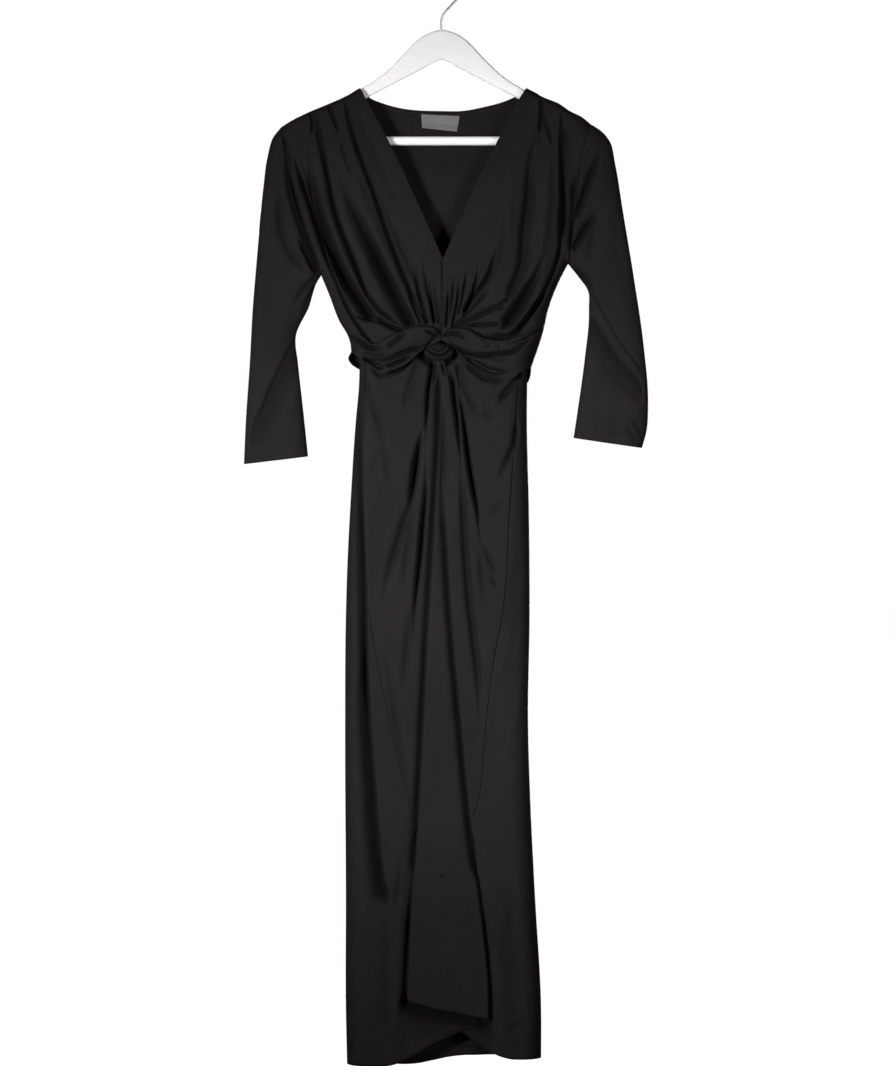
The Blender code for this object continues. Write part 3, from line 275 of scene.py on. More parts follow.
centreSkirtFolds = {
    "underTwistLeft": fold(8, 2.6, 2.6, 0.25, 0.2, (-96, 511), (-88, 520), (-81, 526), (-72, 525),
        (-62, 522), (-53, 519), (-46, 513), (-38, 504)),
    "underTwistRight": fold(8, 2.6, 2.6, 0.2, 0.25, (26, 510), (36, 517), (47, 525), (56, 531), (66, 533),
        (77, 534), (88, 532)),
    "knotCavityLeft": fold(12, 4, 5, 0.1, 0.1, (-34, 493), (-27, 502), (-20, 507), (-10, 511)),
    "knotCavityRight": fold(12, 4, 5, 0.1, 0.1, (4, 511), (12, 506), (17, 497)),
    "leftFirst": fold(11, 3.2, 1.7, 0.05, 0.6, (-12, 508), (-14, 526), (-17, 545), (-18, 560), (-19, 577),
        (-20, 597), (-20, 623)),
    "leftSecond": fold(15, 5, 2.8, 0.45, 0.5, (-21, 584), (-27, 607), (-31, 630), (-34, 651), (-37, 672),
        (-41, 696), (-47, 722)),
    "leftSecondGrey": fold(6, 6, 6, 0.3, 0.5, (-40, 682), (-49, 719), (-60, 755), (-70, 788), (-78, 826)),
    "leftSecondLow": fold(4, 5, 5, 0.3, 0.5, (-36, 688), (-42, 727), (-46, 766), (-51, 812)),
    "leftThird": fold(13, 4.5, 1.9, 0.4, 0.6, (-20, 610), (-20, 655), (-21, 688), (-24, 720), (-27, 759),
        (-31, 794), (-34, 824), (-37, 863), (-39, 922)),
    "leftThirdGrey": fold(4, 7, 4, 0.3, 0.5, (-38, 818), (-44, 883), (-51, 948)),
    "pleatLeft": fold(7, 5, 1.5, 0.05, 0.04, (-4, 514), (-3, 532), (-4, 558), (-5, 610), (-8, 662),
        (-11, 714), (-14, 766), (-18, 831), (-21, 883), (-25, 961), (-29, 1039), (-33, 1112), (-38, 1182)),
    "pleatRightGrey": fold(4, 4, 4, 0.2, 0.4, (-1, 547), (0, 573), (2, 610), (3, 662), (3, 714)),
    "pleatRight": fold(8, 5.5, 1.6, 0.25, 0.04, (-1, 610), (1, 688), (5, 746), (8, 805), (13, 870),
        (20, 948), (25, 1000), (29, 1045), (34, 1093), (38, 1130), (46, 1182)),
    "rightFirst": fold(12, 2.6, 3.2, 0.2, 0.6, (10, 511), (14, 540), (16, 560), (19, 581), (21, 604),
        (24, 630), (25, 662)),
    "rightFirstGrey": fold(6.5, 4.5, 5, 0.2, 0.3, (25, 630), (27, 688), (30, 746), (34, 805), (40, 857),
        (47, 922), (49, 987)),
    "rightSecond": fold(15, 3.4, 2.6, 0.45, 0.4, (13, 508), (18, 529), (21, 545), (25, 564), (28, 584),
        (31, 607), (35, 636), (40, 668), (46, 701), (49, 727), (56, 760)),
    "rightSecondLow": fold(4, 4, 4, 0.3, 0.5, (52, 740), (60, 760), (68, 777), (73, 792)),
    "rightSecondGrey": fold(3, 4, 4, 0.3, 0.5, (49, 746), (52, 785), (56, 831)),
    "knotLeftGrey": fold(4, 5, 6, 0.1, 0.4, (-29, 507), (-34, 521), (-40, 538), (-46, 558), (-51, 578)),
    "knotRightGrey": fold(4, 6, 5, 0.1, 0.4, (21, 508), (27, 526), (32, 545), (39, 560), (47, 576),
        (56, 592)),
    "knotOne": fold(7, 1.6, 1.6, 0.1, 0.5, (-8, 510), (-10, 519), (-10, 529), (-12, 543)),
    "knotTwo": fold(5, 1.4, 1.4, 0.1, 0.5, (-1, 510), (2, 519), (5, 530)),
    "knotThree": fold(3.5, 1.3, 1.3, 0.1, 0.5, (4, 508), (7, 519), (10, 532), (10, 543)),
    "knotFour": fold(4, 1.4, 1.4, 0.1, 0.3, (17, 508), (20, 521), (23, 540), (25, 555)),
    "leftSwag": fold(4, 5, 5, 0.1, 0.4, (-105, 521), (-98, 545), (-88, 568), (-79, 594), (-72, 625)),
    "leftSwagLow": fold(3, 7, 8, 0.3, 0.4, (-78, 610), (-70, 638), (-65, 670)),
    "cornerShort": fold(8, 4, 4, 0.1, 0.3, (103, 521), (96, 532), (87, 543), (78, 555), (72, 566)),
    "cornerSmudge": fold(2.5, 4, 4, 0.3, 0.3, (49, 569), (61, 578), (72, 580)),
    "cornerLong": fold(6.5, 4, 3, 0.3, 0.4, (98, 573), (95, 607), (90, 625), (83, 640), (77, 654),
        (72, 670)),
    "cornerThird": fold(2.5, 5, 5, 0.3, 0.4, (83, 688), (72, 698), (60, 705)),
    "crumple": fold(3.5, 2.2, 2.2, 0.3, 0.4, (61, 784), (66, 793), (73, 803)),
    "seamSoftLeft": fold(2.5, 6, 6, 0.4, 0.4, (-74, 870), (-57, 974), (-39, 1078)),
}
underPleatFolds = {
    "underPleatHem": fold(17, 11, 7, 0.06, 0.06, (-56, 1335), (-29, 1342), (4, 1348), (36, 1355),
        (66, 1362)),
    "underPleatLeft": fold(9, 5, 3, 0.5, 0.03, (-35, 1156), (-40, 1214), (-44, 1273), (-48, 1342)),
    "underPleatRight": fold(3, 3, 3, 0.4, 0.1, (44, 1195), (52, 1247), (58, 1299), (64, 1358)),
}
leftSkirtFolds = {
    "sideTrough": fold(12, 10, 1.6, 0.25, 0.3, (-105, 526), (-106, 584), (-106, 649), (-103, 714),
        (-101, 766), (-99, 818), (-98, 870), (-96, 935), (-93, 987)),
    "sideTroughDeep": fold(14, 12, 2.4, 0.3, 0.06, (-99, 844), (-98, 896), (-96, 948), (-93, 1000),
        (-89, 1052), (-85, 1104), (-81, 1149), (-75, 1188), (-66, 1216)),
    "sideTroughTurn": fold(2.5, 2.5, 4, 0.2, 0.6, (-66, 1216), (-58, 1204), (-55, 1182), (-53, 1145)),
    "lowGrey": fold(3, 9, 9, 0.3, 0.2, (-70, 1208), (-69, 1273), (-69, 1338), (-70, 1390)),
}
rightSkirtFolds = {
    "sideSoft": fold(2.5, 10, 10, 0.3, 0.3, (98, 701), (96, 850), (88, 1000)),
    "sideLow": fold(4, 14, 12, 0.4, 0.2, (86, 1156), (91, 1247), (96, 1338), (99, 1403)),
    "footCrumple": fold(2, 4, 4, 0.4, 0.4, (83, 1377), (94, 1369), (105, 1365), (116, 1366)),
    "footCrumpleTwo": fold(1.5, 3, 3, 0.4, 0.4, (75, 1382), (91, 1387), (107, 1392)),
}
backFolds = {
    "leftBlade": fold(6, 10, 12, 0.4, 0.4, (-150, 250), (-120, 340), (-92, 440)),
    "rightBlade": fold(6, 12, 10, 0.4, 0.4, (148, 244), (116, 350), (88, 452)),
    "leftArmFan": fold(3, 4, 6, 0.1, 0.6, (-156, 392), (-120, 350), (-84, 330)),
    "rightArmFan": fold(3, 6, 4, 0.1, 0.6, (162, 378), (124, 344), (90, 326)),
    "neckDip": fold(1.5, 9, 9, 0.4, 0.4, (-60, 200), (0, 222), (62, 200)),
    "leftWaist": fold(3, 4, 6, 0.3, 0.5, (-104, 512), (-70, 500), (-30, 492)),
    "rightWaist": fold(3, 4, 6, 0.5, 0.3, (24, 500), (66, 508), (106, 524)),
    "waistGatherOne": fold(2.2, 2.5, 3, 0.6, 0.05, (-76, 440), (-72, 486), (-70, 520)),
    "waistGatherTwo": fold(3, 3, 3, 0.6, 0.05, (-48, 420), (-50, 478), (-47, 522)),
    "waistGatherThree": fold(2, 2.5, 2.5, 0.6, 0.05, (-22, 452), (-22, 492), (-24, 523)),
    "waistGatherFour": fold(2.6, 3, 2.5, 0.6, 0.05, (14, 430), (10, 482), (11, 525)),
    "waistGatherFive": fold(2.4, 2.5, 3, 0.6, 0.05, (44, 448), (42, 492), (44, 527)),
    "waistGatherSix": fold(3, 3, 3, 0.6, 0.05, (78, 430), (74, 486), (76, 530)),
    "leftFall": fold(8, 13, 9, 0.2, 0.3, (-58, 530), (-64, 800), (-78, 1150)),
    "leftFallShort": fold(5, 5, 8, 0.05, 0.6, (-30, 525), (-34, 600), (-40, 700)),
    "middleFall": fold(6, 11, 15, 0.3, 0.3, (6, 560), (2, 840), (-10, 1260)),
    "rightFallShort": fold(5, 8, 5, 0.05, 0.6, (32, 528), (36, 610), (38, 720)),
    "rightFall": fold(8, 9, 14, 0.2, 0.3, (56, 540), (62, 820), (80, 1180)),
    "hemWave": fold(5, 10, 12, 0.5, 0.05, (30, 1180), (38, 1300), (44, 1420)),
}
backSleeveFolds = {
    "left": {
        "capSoft": fold(3, 6, 6, 0.4, 0.3, (-200, 262), (-186, 330), (-166, 382)),
        "elbow": fold(5, 3, 8, 0.2, 0.3, (-190, 470), (-214, 492), (-240, 500)),
        "elbowLow": fold(2, 3, 6, 0.2, 0.4, (-188, 500), (-210, 520), (-236, 528)),
    },
    "right": {
        "capSoft": fold(3, 6, 6, 0.4, 0.3, (196, 250), (186, 316), (170, 366)),
        "elbow": fold(5, 3, 8, 0.2, 0.3, (190, 446), (216, 470), (246, 480)),
        "elbowLow": fold(2, 3, 6, 0.2, 0.4, (188, 478), (214, 502), (244, 512)),
    },
}


# A smooth line through the given points
def smoothLine(points, samples=64):
    given = np.array(points, float)
    steps = np.hypot(*np.diff(given, axis=0).T)
    along = np.concatenate([[0.0], np.cumsum(steps)])
    slope = np.gradient(given, along, axis=0)
    at = np.linspace(0, along[-1], samples)
    left = np.clip(np.searchsorted(along, at, side="right") - 1, 0, len(along) - 2)
    span = along[left + 1] - along[left]
    s = ((at - along[left]) / span)[:, None]
    span = span[:, None]
    line = ((2 * s**3 - 3 * s**2 + 1) * given[left] + (s**3 - 2 * s**2 + s) * span * slope[left]
            + (3 * s**2 - 2 * s**3) * given[left + 1] + (s**3 - s**2) * span * slope[left + 1])
    line[0], line[-1] = given[0], given[-1]
    return line


lines = {name: smoothLine(points) for name, points in {**closedLines, **openLines}.items()}
bodySides = ("leftSide", "rightSide")
waistSides = ("leftWaistSide", "rightWaistSide")
armOuter = ("leftArmOuter", "rightArmOuter")
armInner = ("leftArmInner", "rightArmInner")
shoulders = ("leftShoulder", "rightShoulder")
skirtSides = ("leftSkirtSide", "rightSkirtSide")
clothOnWest = ("leftShoulder", "leftArmInner", "rightArmOuter", "rightSide", "rightWaistSide",
               "rightSkirtSide")


def moved(line, across=0.0, drop=0.0):
    return line + np.array((across, drop))


def lengthAlong(line):
    return np.concatenate([[0.0], np.cumsum(np.hypot(*np.diff(line, axis=0).T))])


# Places of a line at lengths along it
def placesAt(line, lengths):
    steps = lengthAlong(line)
    return np.column_stack((np.interp(lengths, steps, line[:, 0]), np.interp(lengths, steps, line[:, 1])))


# An edge of a panel: parts of (line, share), asked for places at shares of its way.
# "round" crowds the points at both ends of a part and "early" at its start.
def edge(*parts):
    ends = np.concatenate([[0.0], np.cumsum([part[1] for part in parts])])

    def follow(where):
        out = np.empty((len(where), 2))
        for number, part in enumerate(parts):
            inside = where >= ends[number] - 1e-6
            line = part[0]
            steps = lengthAlong(line)
            at = np.clip((where[inside] - ends[number]) / part[1], 0, 1)
            if "round" in part[2:]:
                at = (1 - np.cos(math.pi * at)) / 2
            if "early" in part[2:]:
                at = at ** 1.6
            out[inside] = placesAt(line, at * steps[-1])
        return out

    return follow


# A panel between four edges, as places for each u across it and v down it
def patch(top, bottom, outer, inner, u, v):
    zero, one = np.zeros(1), np.ones(1)
    a, b = u[:, None], v[:, None]
    across = (1 - b) * top(u) + b * bottom(u)
    down = (1 - a) * outer(v) + a * inner(v)
    corners = ((1 - a) * (1 - b) * top(zero) + a * (1 - b) * top(one)
               + (1 - a) * b * bottom(zero) + a * b * bottom(one))
    return across + down - corners


# Distance of each place to a line, its side (west above 0), its share along and the way in
def nearest(points, line, inside=1):
    best = np.full(len(points), 1e9)
    side = np.zeros(len(points))
    along = np.zeros(len(points))
    way = np.zeros((len(points), 2))
    steps = np.hypot(*np.diff(line, axis=0).T)
    reached = lengthAlong(line)
    for number, length in enumerate(steps):
        run = (line[number + 1] - line[number]) / length
        offset = points - line[number]
        t = np.clip(offset @ run, 0, length)
        gap = offset - t[:, None] * run
        distance = np.hypot(gap[:, 0], gap[:, 1])
        closer = distance < best - 1e-9
        best[closer] = distance[closer]
        side[closer] = (run[0] * gap[:, 1] - run[1] * gap[:, 0])[closer]
        along[closer] = ((reached[number] + t) / reached[-1])[closer]
        way[closer] = np.array((-run[1], run[0])) * inside
        far = closer & (distance > 0.5)
        way[far] = gap[far] / distance[far, None]
    return best, side, along, way


def ease(t):
    t = np.clip(t, 0, 1)
    return t * t * (3 - 2 * t)


# Which places lie within a reach of a line's box
def closeTo(points, line, reach):
    return np.all((points > line.min(axis=0) - reach) & (points < line.max(axis=0) + reach), axis=1)


# How far the folds and grooves such as seams push each place inwards, and the painted shade its colour takes
# there.
# A fold is narrower towards its faint ends. A groove is (line, depth, width).
def foldRelief(points, folds, grooves=()):
    relief = np.zeros(len(points))
    paintedShade = np.zeros(len(points))
    for row in folds.values():
        route = smoothLine(row["route"], 24)
        close = closeTo(points, route, 3 * max(row["west"], row["east"]))
        if not close.any():
            continue
        distance, side, along, way = nearest(points[close], route)
        strength = ease(along / row["fadeIn"]) * ease((1 - along) / row["fadeOut"])
        width = np.where(side > 0, row["west"], row["east"]) * (0.4 + 0.6 * strength)
        push = strength * np.exp(-(distance / width) ** 2)
        relief[close] += row["depth"] * push
        if row["depth"] > 0:
            middle = (row["west"] + row["east"]) / 2
            paintedShade[close] += push * row["depth"] ** 2 / (row["depth"] ** 2 + middle ** 2)
    for line, depth, width in grooves:
        close = closeTo(points, line, 4 * width)
        if close.any():
            push = np.exp(-(nearest(points[close], line)[0] / width) ** 2)
            relief[close] += depth * push
            paintedShade[close] += push * depth ** 2 / (depth ** 2 + width ** 2)
    return relief, np.minimum(paintedShade, 1)


# Small uneven ripples of hanging jersey, longer than they are wide
ripple = {"count": 14, "width": (18, 70), "stretch": (2.5, 6), "lean": (-0.25, 0.25), "strength": (0.4, 1)}


def ripples(points, seed, height):
    chance = np.random.default_rng(seed)
    total = np.zeros(len(points))
    for number in range(ripple["count"]):
        wide = chance.uniform(*ripple["width"])
        tall = wide * chance.uniform(*ripple["stretch"])
        lean = chance.uniform(*ripple["lean"])
        phase = points[:, 0] / wide + points[:, 1] * (1 / tall + lean / wide * 0.3) + chance.uniform(0, 7)
        total += np.sin(phase * 2 * math.pi) * chance.uniform(*ripple["strength"])
    return total * height / math.sqrt(ripple["count"])


# How far the cloth has turned flat, from 0 on the named lines to 1 past the roll, and the way it faces
def turned(points, names, roll):
    best = np.full(len(points), 1e9)
    facing = np.zeros((len(points), 2))
    for name in names:
        distance, side, along, way = nearest(points, lines[name], 1 if name in clothOnWest else -1)
        closer = distance < best
        best[closer] = distance[closer]
        facing[closer] = -way[closer]
    t = np.clip(best / roll, 0, 1)
    return np.sqrt(1 - (1 - t) ** 2), facing * (1 - t)[:, None]


# Places of the cloth's outside, in metres, the way it faces there without its folds, and its painted shade
def cloth(points, piece):
    back, sides = piece["back"], piece["sides"]
    drops = [row[0] for row in bodyDepth]
    full = np.interp(points[:, 1], drops, [row[2] if back else row[1] for row in bodyDepth])
    room = np.interp(points[:, 1], drops, [row[3] for row in bodyDepth])
    if back:
        below = ease((points[:, 1] - form["backRoomDrop"]) / form["backRoomRun"])
        room = np.minimum(room, form["backRoom"] - form["backRoomLess"] * below)
    if sides == "skirt":
        turn, facing = turned(points, skirtSides, form["sideRoll"])
    else:
        arm = ease((np.abs(points[:, 0]) - form["bodyEdge"]) / (form["sleeveEdge"] - form["bodyEdge"]))
        full = full * (1 - arm) + (form["sleeveBack"] if back else form["sleeveFront"]) * arm
        ownSides = bodySides + waistSides if back else bodySides
        facingSides = ownSides + armOuter if sides == "body" else armOuter + armInner
        sideFacing = turned(points, facingSides, form["sideRoll"])[1]
        sideTurn = turned(points, ownSides + armOuter + armInner, form["sideRoll"])[0]
        topTurn, topFacing = turned(points, shoulders, form["shoulderRoll"])
        turn = sideTurn * topTurn
        facing = sideFacing + topFacing
    relief, paintedShade = foldRelief(points, piece["folds"], piece.get("grooves", ()))
    if "extra" in piece:
        relief = relief + piece["extra"](points)
    relief = relief + ripples(points, piece["seed"], piece["ripple"])
    depth = (full - np.minimum(relief, full - room)) * turn
    outward = np.column_stack((facing, np.maximum(turn, 1e-3)))
    outward /= np.linalg.norm(outward, axis=1)[:, None]
    sign = 1 if back else -1
    outer = np.column_stack((points[:, 0], sign * (depth + form["halfGap"]), -points[:, 1]))
    outward = np.column_stack((outward[:, 0], sign * outward[:, 2], -outward[:, 1]))
    return outer * mm, outward, paintedShade


# A flat grid, its corners' u and v, and their numbers as rows of columns
def gridMesh(columns, rows):
    work = bmesh.new()
    bmesh.ops.create_grid(work, x_segments=columns, y_segments=rows, size=0.5)
    places = np.array([corner.co for corner in work.verts])
    u, v = places[:, 0] + 0.5, 0.5 - places[:, 1]
    order = np.lexsort((np.round(u * columns), np.round(v * rows))).reshape(rows + 1, columns + 1)
    return work, u, v, order


def addObject(name, work):
    mesh = bpy.data.meshes.new(name)
    work.to_mesh(mesh)
    work.free()
    mesh.shade_smooth()
    thing = bpy.data.objects.new(name, mesh)
    bpy.context.scene.collection.objects.link(thing)
    return thing


# The piece rides on the body, takes its finish and stands for its solid
def place(thing, material, slot, *nodes):
    thing.data.materials.append(material)
    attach(thing, "root")
    if nodes:
        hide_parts(*nodes)
    return thing


# Cloth on a grid: the pattern's u and v run along the cloth itself, in metres, and a layer keeps the
# painted shade that darkens each place's colour. A tube's first and last columns are joined.
def makeShell(name, work, order, outer, outward, paintedShade, wall, tube=False):
    hollow = work.verts.layers.float.new("hollow")
    rowsOut = outer[order]
    across = np.zeros(order.shape)
    across[:, 1:] = np.cumsum(np.linalg.norm(np.diff(rowsOut, axis=1), axis=2), axis=1)
    across -= across[:, across.shape[1] // 2][:, None]
    down = np.zeros(order.shape)
    down[1:] = np.cumsum(np.linalg.norm(np.diff(rowsOut, axis=0), axis=2), axis=0)
    flat = np.empty((len(outer), 2))
    flat[order.ravel()] = np.column_stack((across.ravel(), -down.ravel()))
    pattern = work.loops.layers.uv.new("knit")
    for face in work.faces:
        for loop in face.loops:
            loop[pattern].uv = flat[loop.vert.index]
    for corner in work.verts:
        corner.co = outer[corner.index]
        corner[hollow] = paintedShade[corner.index]
    work.normal_update()
    away = sum(corner.normal.dot(Vector(outward[corner.index])) for corner in work.verts)
    if away < 0:
        bmesh.ops.reverse_faces(work, faces=list(work.faces))
    if tube:
        bmesh.ops.remove_doubles(work, verts=list(work.verts), dist=1e-7)
    thing = addObject(name, work)
    thickness = thing.modifiers.new("wall", "SOLIDIFY")
    thickness.thickness = wall * mm
    thickness.offset = -1
    return thing


# The shell of a piece over its places, where its painted shade is at least "shade"
def draped(piece, work, order, points, shade=0):
    outer, outward, paintedShade = cloth(points, piece)
    return makeShell(piece["name"], work, order, outer, outward, np.maximum(paintedShade, shade), form["wall"])


# Shader maths as expressions: a socket that adds its own Math nodes
class Wire:
    def __init__(self, tree, socket):
        self.tree, self.socket = tree, socket

    def maths(self, operation, *others, swap=False):
        values = [self, *others]
        if swap:
            values.reverse()
        return addNode(self.tree, "ShaderNodeMath", {"operation": operation}, dict(enumerate(values)))

    def __add__(self, other):
        return self.maths("ADD", other)

    def __radd__(self, other):
        return self.maths("ADD", other)

    def __sub__(self, other):
        return self.maths("SUBTRACT", other)

    def __rsub__(self, other):
        return self.maths("SUBTRACT", other, swap=True)

    def __mul__(self, other):
        return self.maths("MULTIPLY", other)

    def __rmul__(self, other):
        return self.maths("MULTIPLY", other)

    def __truediv__(self, other):
        return self.maths("DIVIDE", other)

    def __pow__(self, other):
        return self.maths("POWER", other)

    def sine(self):
        return self.maths("SINE")

    def size(self):
        return self.maths("ABSOLUTE")

    def part(self):
        return self.maths("FRACT")


# Any node: its type, its settings, then the values or links of its sockets
def addNode(tree, kind, settings=None, sockets=None, result=0):
    node = tree.nodes.new(kind)
    for key, value in (settings or {}).items():
        setattr(node, key, value)
    for key, value in (sockets or {}).items():
        if isinstance(value, Wire):
            tree.links.new(value.socket, node.inputs[key])
        else:
            node.inputs[key].default_value = value
    return Wire(tree, node.outputs[result])


def mixColours(tree, factor, first, second):
    return addNode(tree, "ShaderNodeMix", {"data_type": "RGBA"}, {0: factor, 6: first, 7: second}, result=2)


# The three parts of a vector
def parts(tree, vector):
    split = addNode(tree, "ShaderNodeSeparateXYZ", sockets={0: vector}).socket.node
    return [Wire(tree, part) for part in split.outputs]


def noise(tree, places, scale, detail):
    return addNode(tree, "ShaderNodeTexNoise", sockets={"Vector": places, "Scale": scale, "Detail": detail})


def bump(tree, height, strength, distance):
    return addNode(tree, "ShaderNodeBump",
                   sockets={"Height": height, "Strength": strength, "Distance": distance})


def smoothStep(tree, value, low, high):
    settings = {"interpolation_type": "SMOOTHSTEP"}
    return addNode(tree, "ShaderNodeMapRange", settings, {0: value, 1: low, 2: high, 3: 0.0, 4: 1.0})


# A material: constants go on the shader's own sockets, and feed() links what varies
def newMaterial(name, colour, roughness, **constant):
    material = bpy.data.materials.new(name)
    material.use_nodes = True
    tree = material.node_tree
    shader = tree.nodes["Principled BSDF"]
    shader.inputs["Base Color"].default_value = colour
    shader.inputs["Roughness"].default_value = roughness
    for socket, value in constant.items():
        shader.inputs[socket.replace("_", " ")].default_value = value
    return material, tree, shader


def feed(tree, shader, **wires):
    for socket, wire in wires.items():
        tree.links.new(wire.socket, shader.inputs[socket.replace("_", " ")])


jersey = {
    "colour": (0.0089, 0.0076, 0.0080, 1),
    "worn": (0.0115, 0.0099, 0.0103, 1),       # where the knit has bloomed a little
    # Painted shade: "between" is the colour that the knit takes in the recesses between its ribs
    "between": (0.0045, 0.0038, 0.0040, 1),    # between the ribs of the knit
    # Painted shade: "crease" is the colour deep in a fold, and "creaseShade" how much of it the folds'
    # painted shade takes
    "crease": (0.0006, 0.0005, 0.0005, 1),     # deep in a fold
    "creaseShade": 0.85,                       # how much of that colour a shut fold takes
    "roughness": 0.8,
    "specular": 0.052,
    "sheen": 0.005,
    "sheenRoughness": 0.4,
    "sheenTint": (0.75, 0.7, 0.72, 1),
    "wale": 0.9 * mm,                          # width of a column of knit stitches
    "course": 0.7 * mm,                        # height of a row of them
    "relief": 0.10 * mm,
    "uneven": 260.0,                           # scales of the yarn's, the clouds' and the fuzz's noise
    "cloud": 5.0,
    "fuzz": 90.0,
    "stain": (0.0042, 0.0035, 0.0036, 1),      # the small dull spot on the centre panel
    "stainAt": (0.0, -1173.9 * mm),            # across and up
    "stainSize": 4.8 * mm,
}


def jerseyMaterial(name, stained=False):
    material, tree, shader = newMaterial(
        name, jersey["colour"], jersey["roughness"], Specular_IOR_Level=jersey["specular"],
        Sheen_Weight=jersey["sheen"], Sheen_Roughness=jersey["sheenRoughness"],
        Sheen_Tint=jersey["sheenTint"])
    pattern = addNode(tree, "ShaderNodeUVMap", {"uv_map": "knit"})
    along, up = parts(tree, pattern)[:2]
    places = addNode(tree, "ShaderNodeTexCoord", result=3)
    uneven = noise(tree, pattern, jersey["uneven"], 2.0)
    column = along / jersey["wale"]
    leaning = (column.part() - 0.5).size()
    rib = (column * math.pi).sine().size()
    loops = ((up / jersey["course"] + leaning * 1.1) * (2 * math.pi)).sine()
    height = rib * 0.55 + loops * 0.3 + uneven * 0.5
    cloud = noise(tree, places, jersey["cloud"], 3.0)
    fuzz = noise(tree, places, jersey["fuzz"], 4.0)
    bloom = smoothStep(tree, cloud * 0.6 + fuzz * 0.4, 0.36, 0.66)
    colour = mixColours(tree, bloom, jersey["colour"], jersey["worn"])
    # Painted shade between the ribs of the knit
    shade = smoothStep(tree, rib + loops * 0.3, -0.2, 1.0)
    colour = mixColours(tree, shade * 0.25 + 0.75, jersey["between"], colour)
    # Painted shade in the folds: the colour darkens towards the crease colour
    hollow = addNode(tree, "ShaderNodeAttribute", {"attribute_name": "hollow"}, result=2)
    colour = mixColours(tree, hollow * jersey["creaseShade"], colour, jersey["crease"])
    if stained:
        spot = parts(tree, places)
        offAcross = spot[0] - jersey["stainAt"][0]
        offUp = spot[2] - jersey["stainAt"][1]
        away = (offAcross * offAcross + offUp * offUp) ** 0.5 + (fuzz - 0.5) * (2.0 * mm)
        inside = 1 - smoothStep(tree, away, jersey["stainSize"] * 0.45, jersey["stainSize"])
        colour = mixColours(tree, inside * 0.8, colour, jersey["stain"])
    feed(tree, shader, Base_Color=colour, Roughness=jersey["roughness"] + (fuzz - 0.5) * 0.12,
         Normal=bump(tree, height, 0.55, jersey["relief"]))
    return material


clothMaterial = jerseyMaterial("jersey")
stainedMaterial = jerseyMaterial("jerseyWithSpot", stained=True)

thread = {"colour": (0.018, 0.016, 0.0165, 1), "roughness": 0.6}
threadMaterial = newMaterial("thread", thread["colour"], thread["roughness"], Sheen_Weight=0.08,
                             Specular_IOR_Level=0.25)[0]
print("materials made")


# One side of a seam runs on under the other, so that no light comes through
def underSeam(line, reach, towards):
    def tuck(points):
        distance, side, along, way = nearest(points, line)
        signed = np.where(side > 0, distance, -distance) * towards
        return form["underDepth"] * ease((signed + 0.9) / 1.3) * (distance < reach * 2)

    return tuck


# The armhole line moved across by a reach, all but at its ends
def swelled(line, reach):
    steps = lengthAlong(line) / lengthAlong(line)[-1]
    return line + np.column_stack((reach * np.sin(math.pi * steps) ** 0.3, np.zeros(len(line))))


def frontBodiceEdges(side):
    shift = form["underSeam"] if side == "left" else form["seam"] / 2
    return (
        edge((lines[side + "Shoulder"], 1.0)),
        edge((lines[side + "TwistFoot"], 1.0)),
        edge((lines[side + "Armhole"], 0.6, "round"), (lines[side + "Side"], 0.4)),
        edge((moved(lines[side + "Neck"], shift), 0.7, "early"), (moved(lines["centreSeam"], shift), 0.3)),
    )


# Front halves of the bodice, pleated from the shoulder, each with its half of the twist
frontBodice = {
    "left": {"name": "frontBodiceLeft", "node": "bodice_front_left", "columns": 160, "rows": 230,
             "folds": {**leftBodiceFolds, **{"arm" + key: row for key, row in leftArmFolds.items()}},
             "flat": (0.27, 0.40), "area": 0.075, "seed": 3},
    "right": {"name": "frontBodiceRight", "node": "bodice_front_right", "columns": 160, "rows": 230,
              "folds": {**rightBodiceFolds, **{"arm" + key: row for key, row in rightArmFolds.items()}},
              "flat": (0.27, 0.40), "area": 0.075, "seed": 5},
}
for side, piece in frontBodice.items():
    piece.update(back=False, sides="body", ripple=0.35)
    if side == "left":
        piece["extra"] = underSeam(lines["centreSeam"], form["underSeam"], -1)
    piece["grooves"] = ((lines[side + "Neck"], 0.4, 1.3), (lines["centreSeam"], 1.8, 1.2),
                        (lines[side + "Armhole"], 0.9, 1.2))
    work, u, v, order = gridMesh(piece["columns"], piece["rows"])
    u = 1 - np.cos(u * math.pi / 2) * (1 - 0.25 * np.sin(u * math.pi))
    piece["object"] = draped(piece, work, order, patch(*frontBodiceEdges(side), u, v))
    place(piece["object"], clothMaterial, "jersey", piece["node"])
print("front bodice made")

backBodice = {"name": "backBodice", "node": "bodice_back", "columns": 96, "rows": 110, "folds": backFolds,
              "grooves": ((lines["backNeck"], 1.2, 1.3), (lines["leftArmhole"], 0.9, 1.2),
                          (lines["rightArmhole"], 0.9, 1.2)),
              "back": True, "sides": "body", "ripple": 0.5, "seed": 7, "flat": (0.43, 0.39), "area": 0.125}
work, u, v, order = gridMesh(backBodice["columns"], backBodice["rows"])


# Between the hanger's arms the back hangs forwards: depth, half its width, and (drop, length) of both ends
sag = {"depth": 10.0, "width": 80.0, "start": (225, 60), "end": (400, 70)}


def backSag(points):
    middle = np.exp(-(points[:, 0] / sag["width"]) ** 2)
    starting, ending = (ease((points[:, 1] - drop) / run) for drop, run in (sag["start"], sag["end"]))
    return sag["depth"] * middle * starting * (1 - ending)


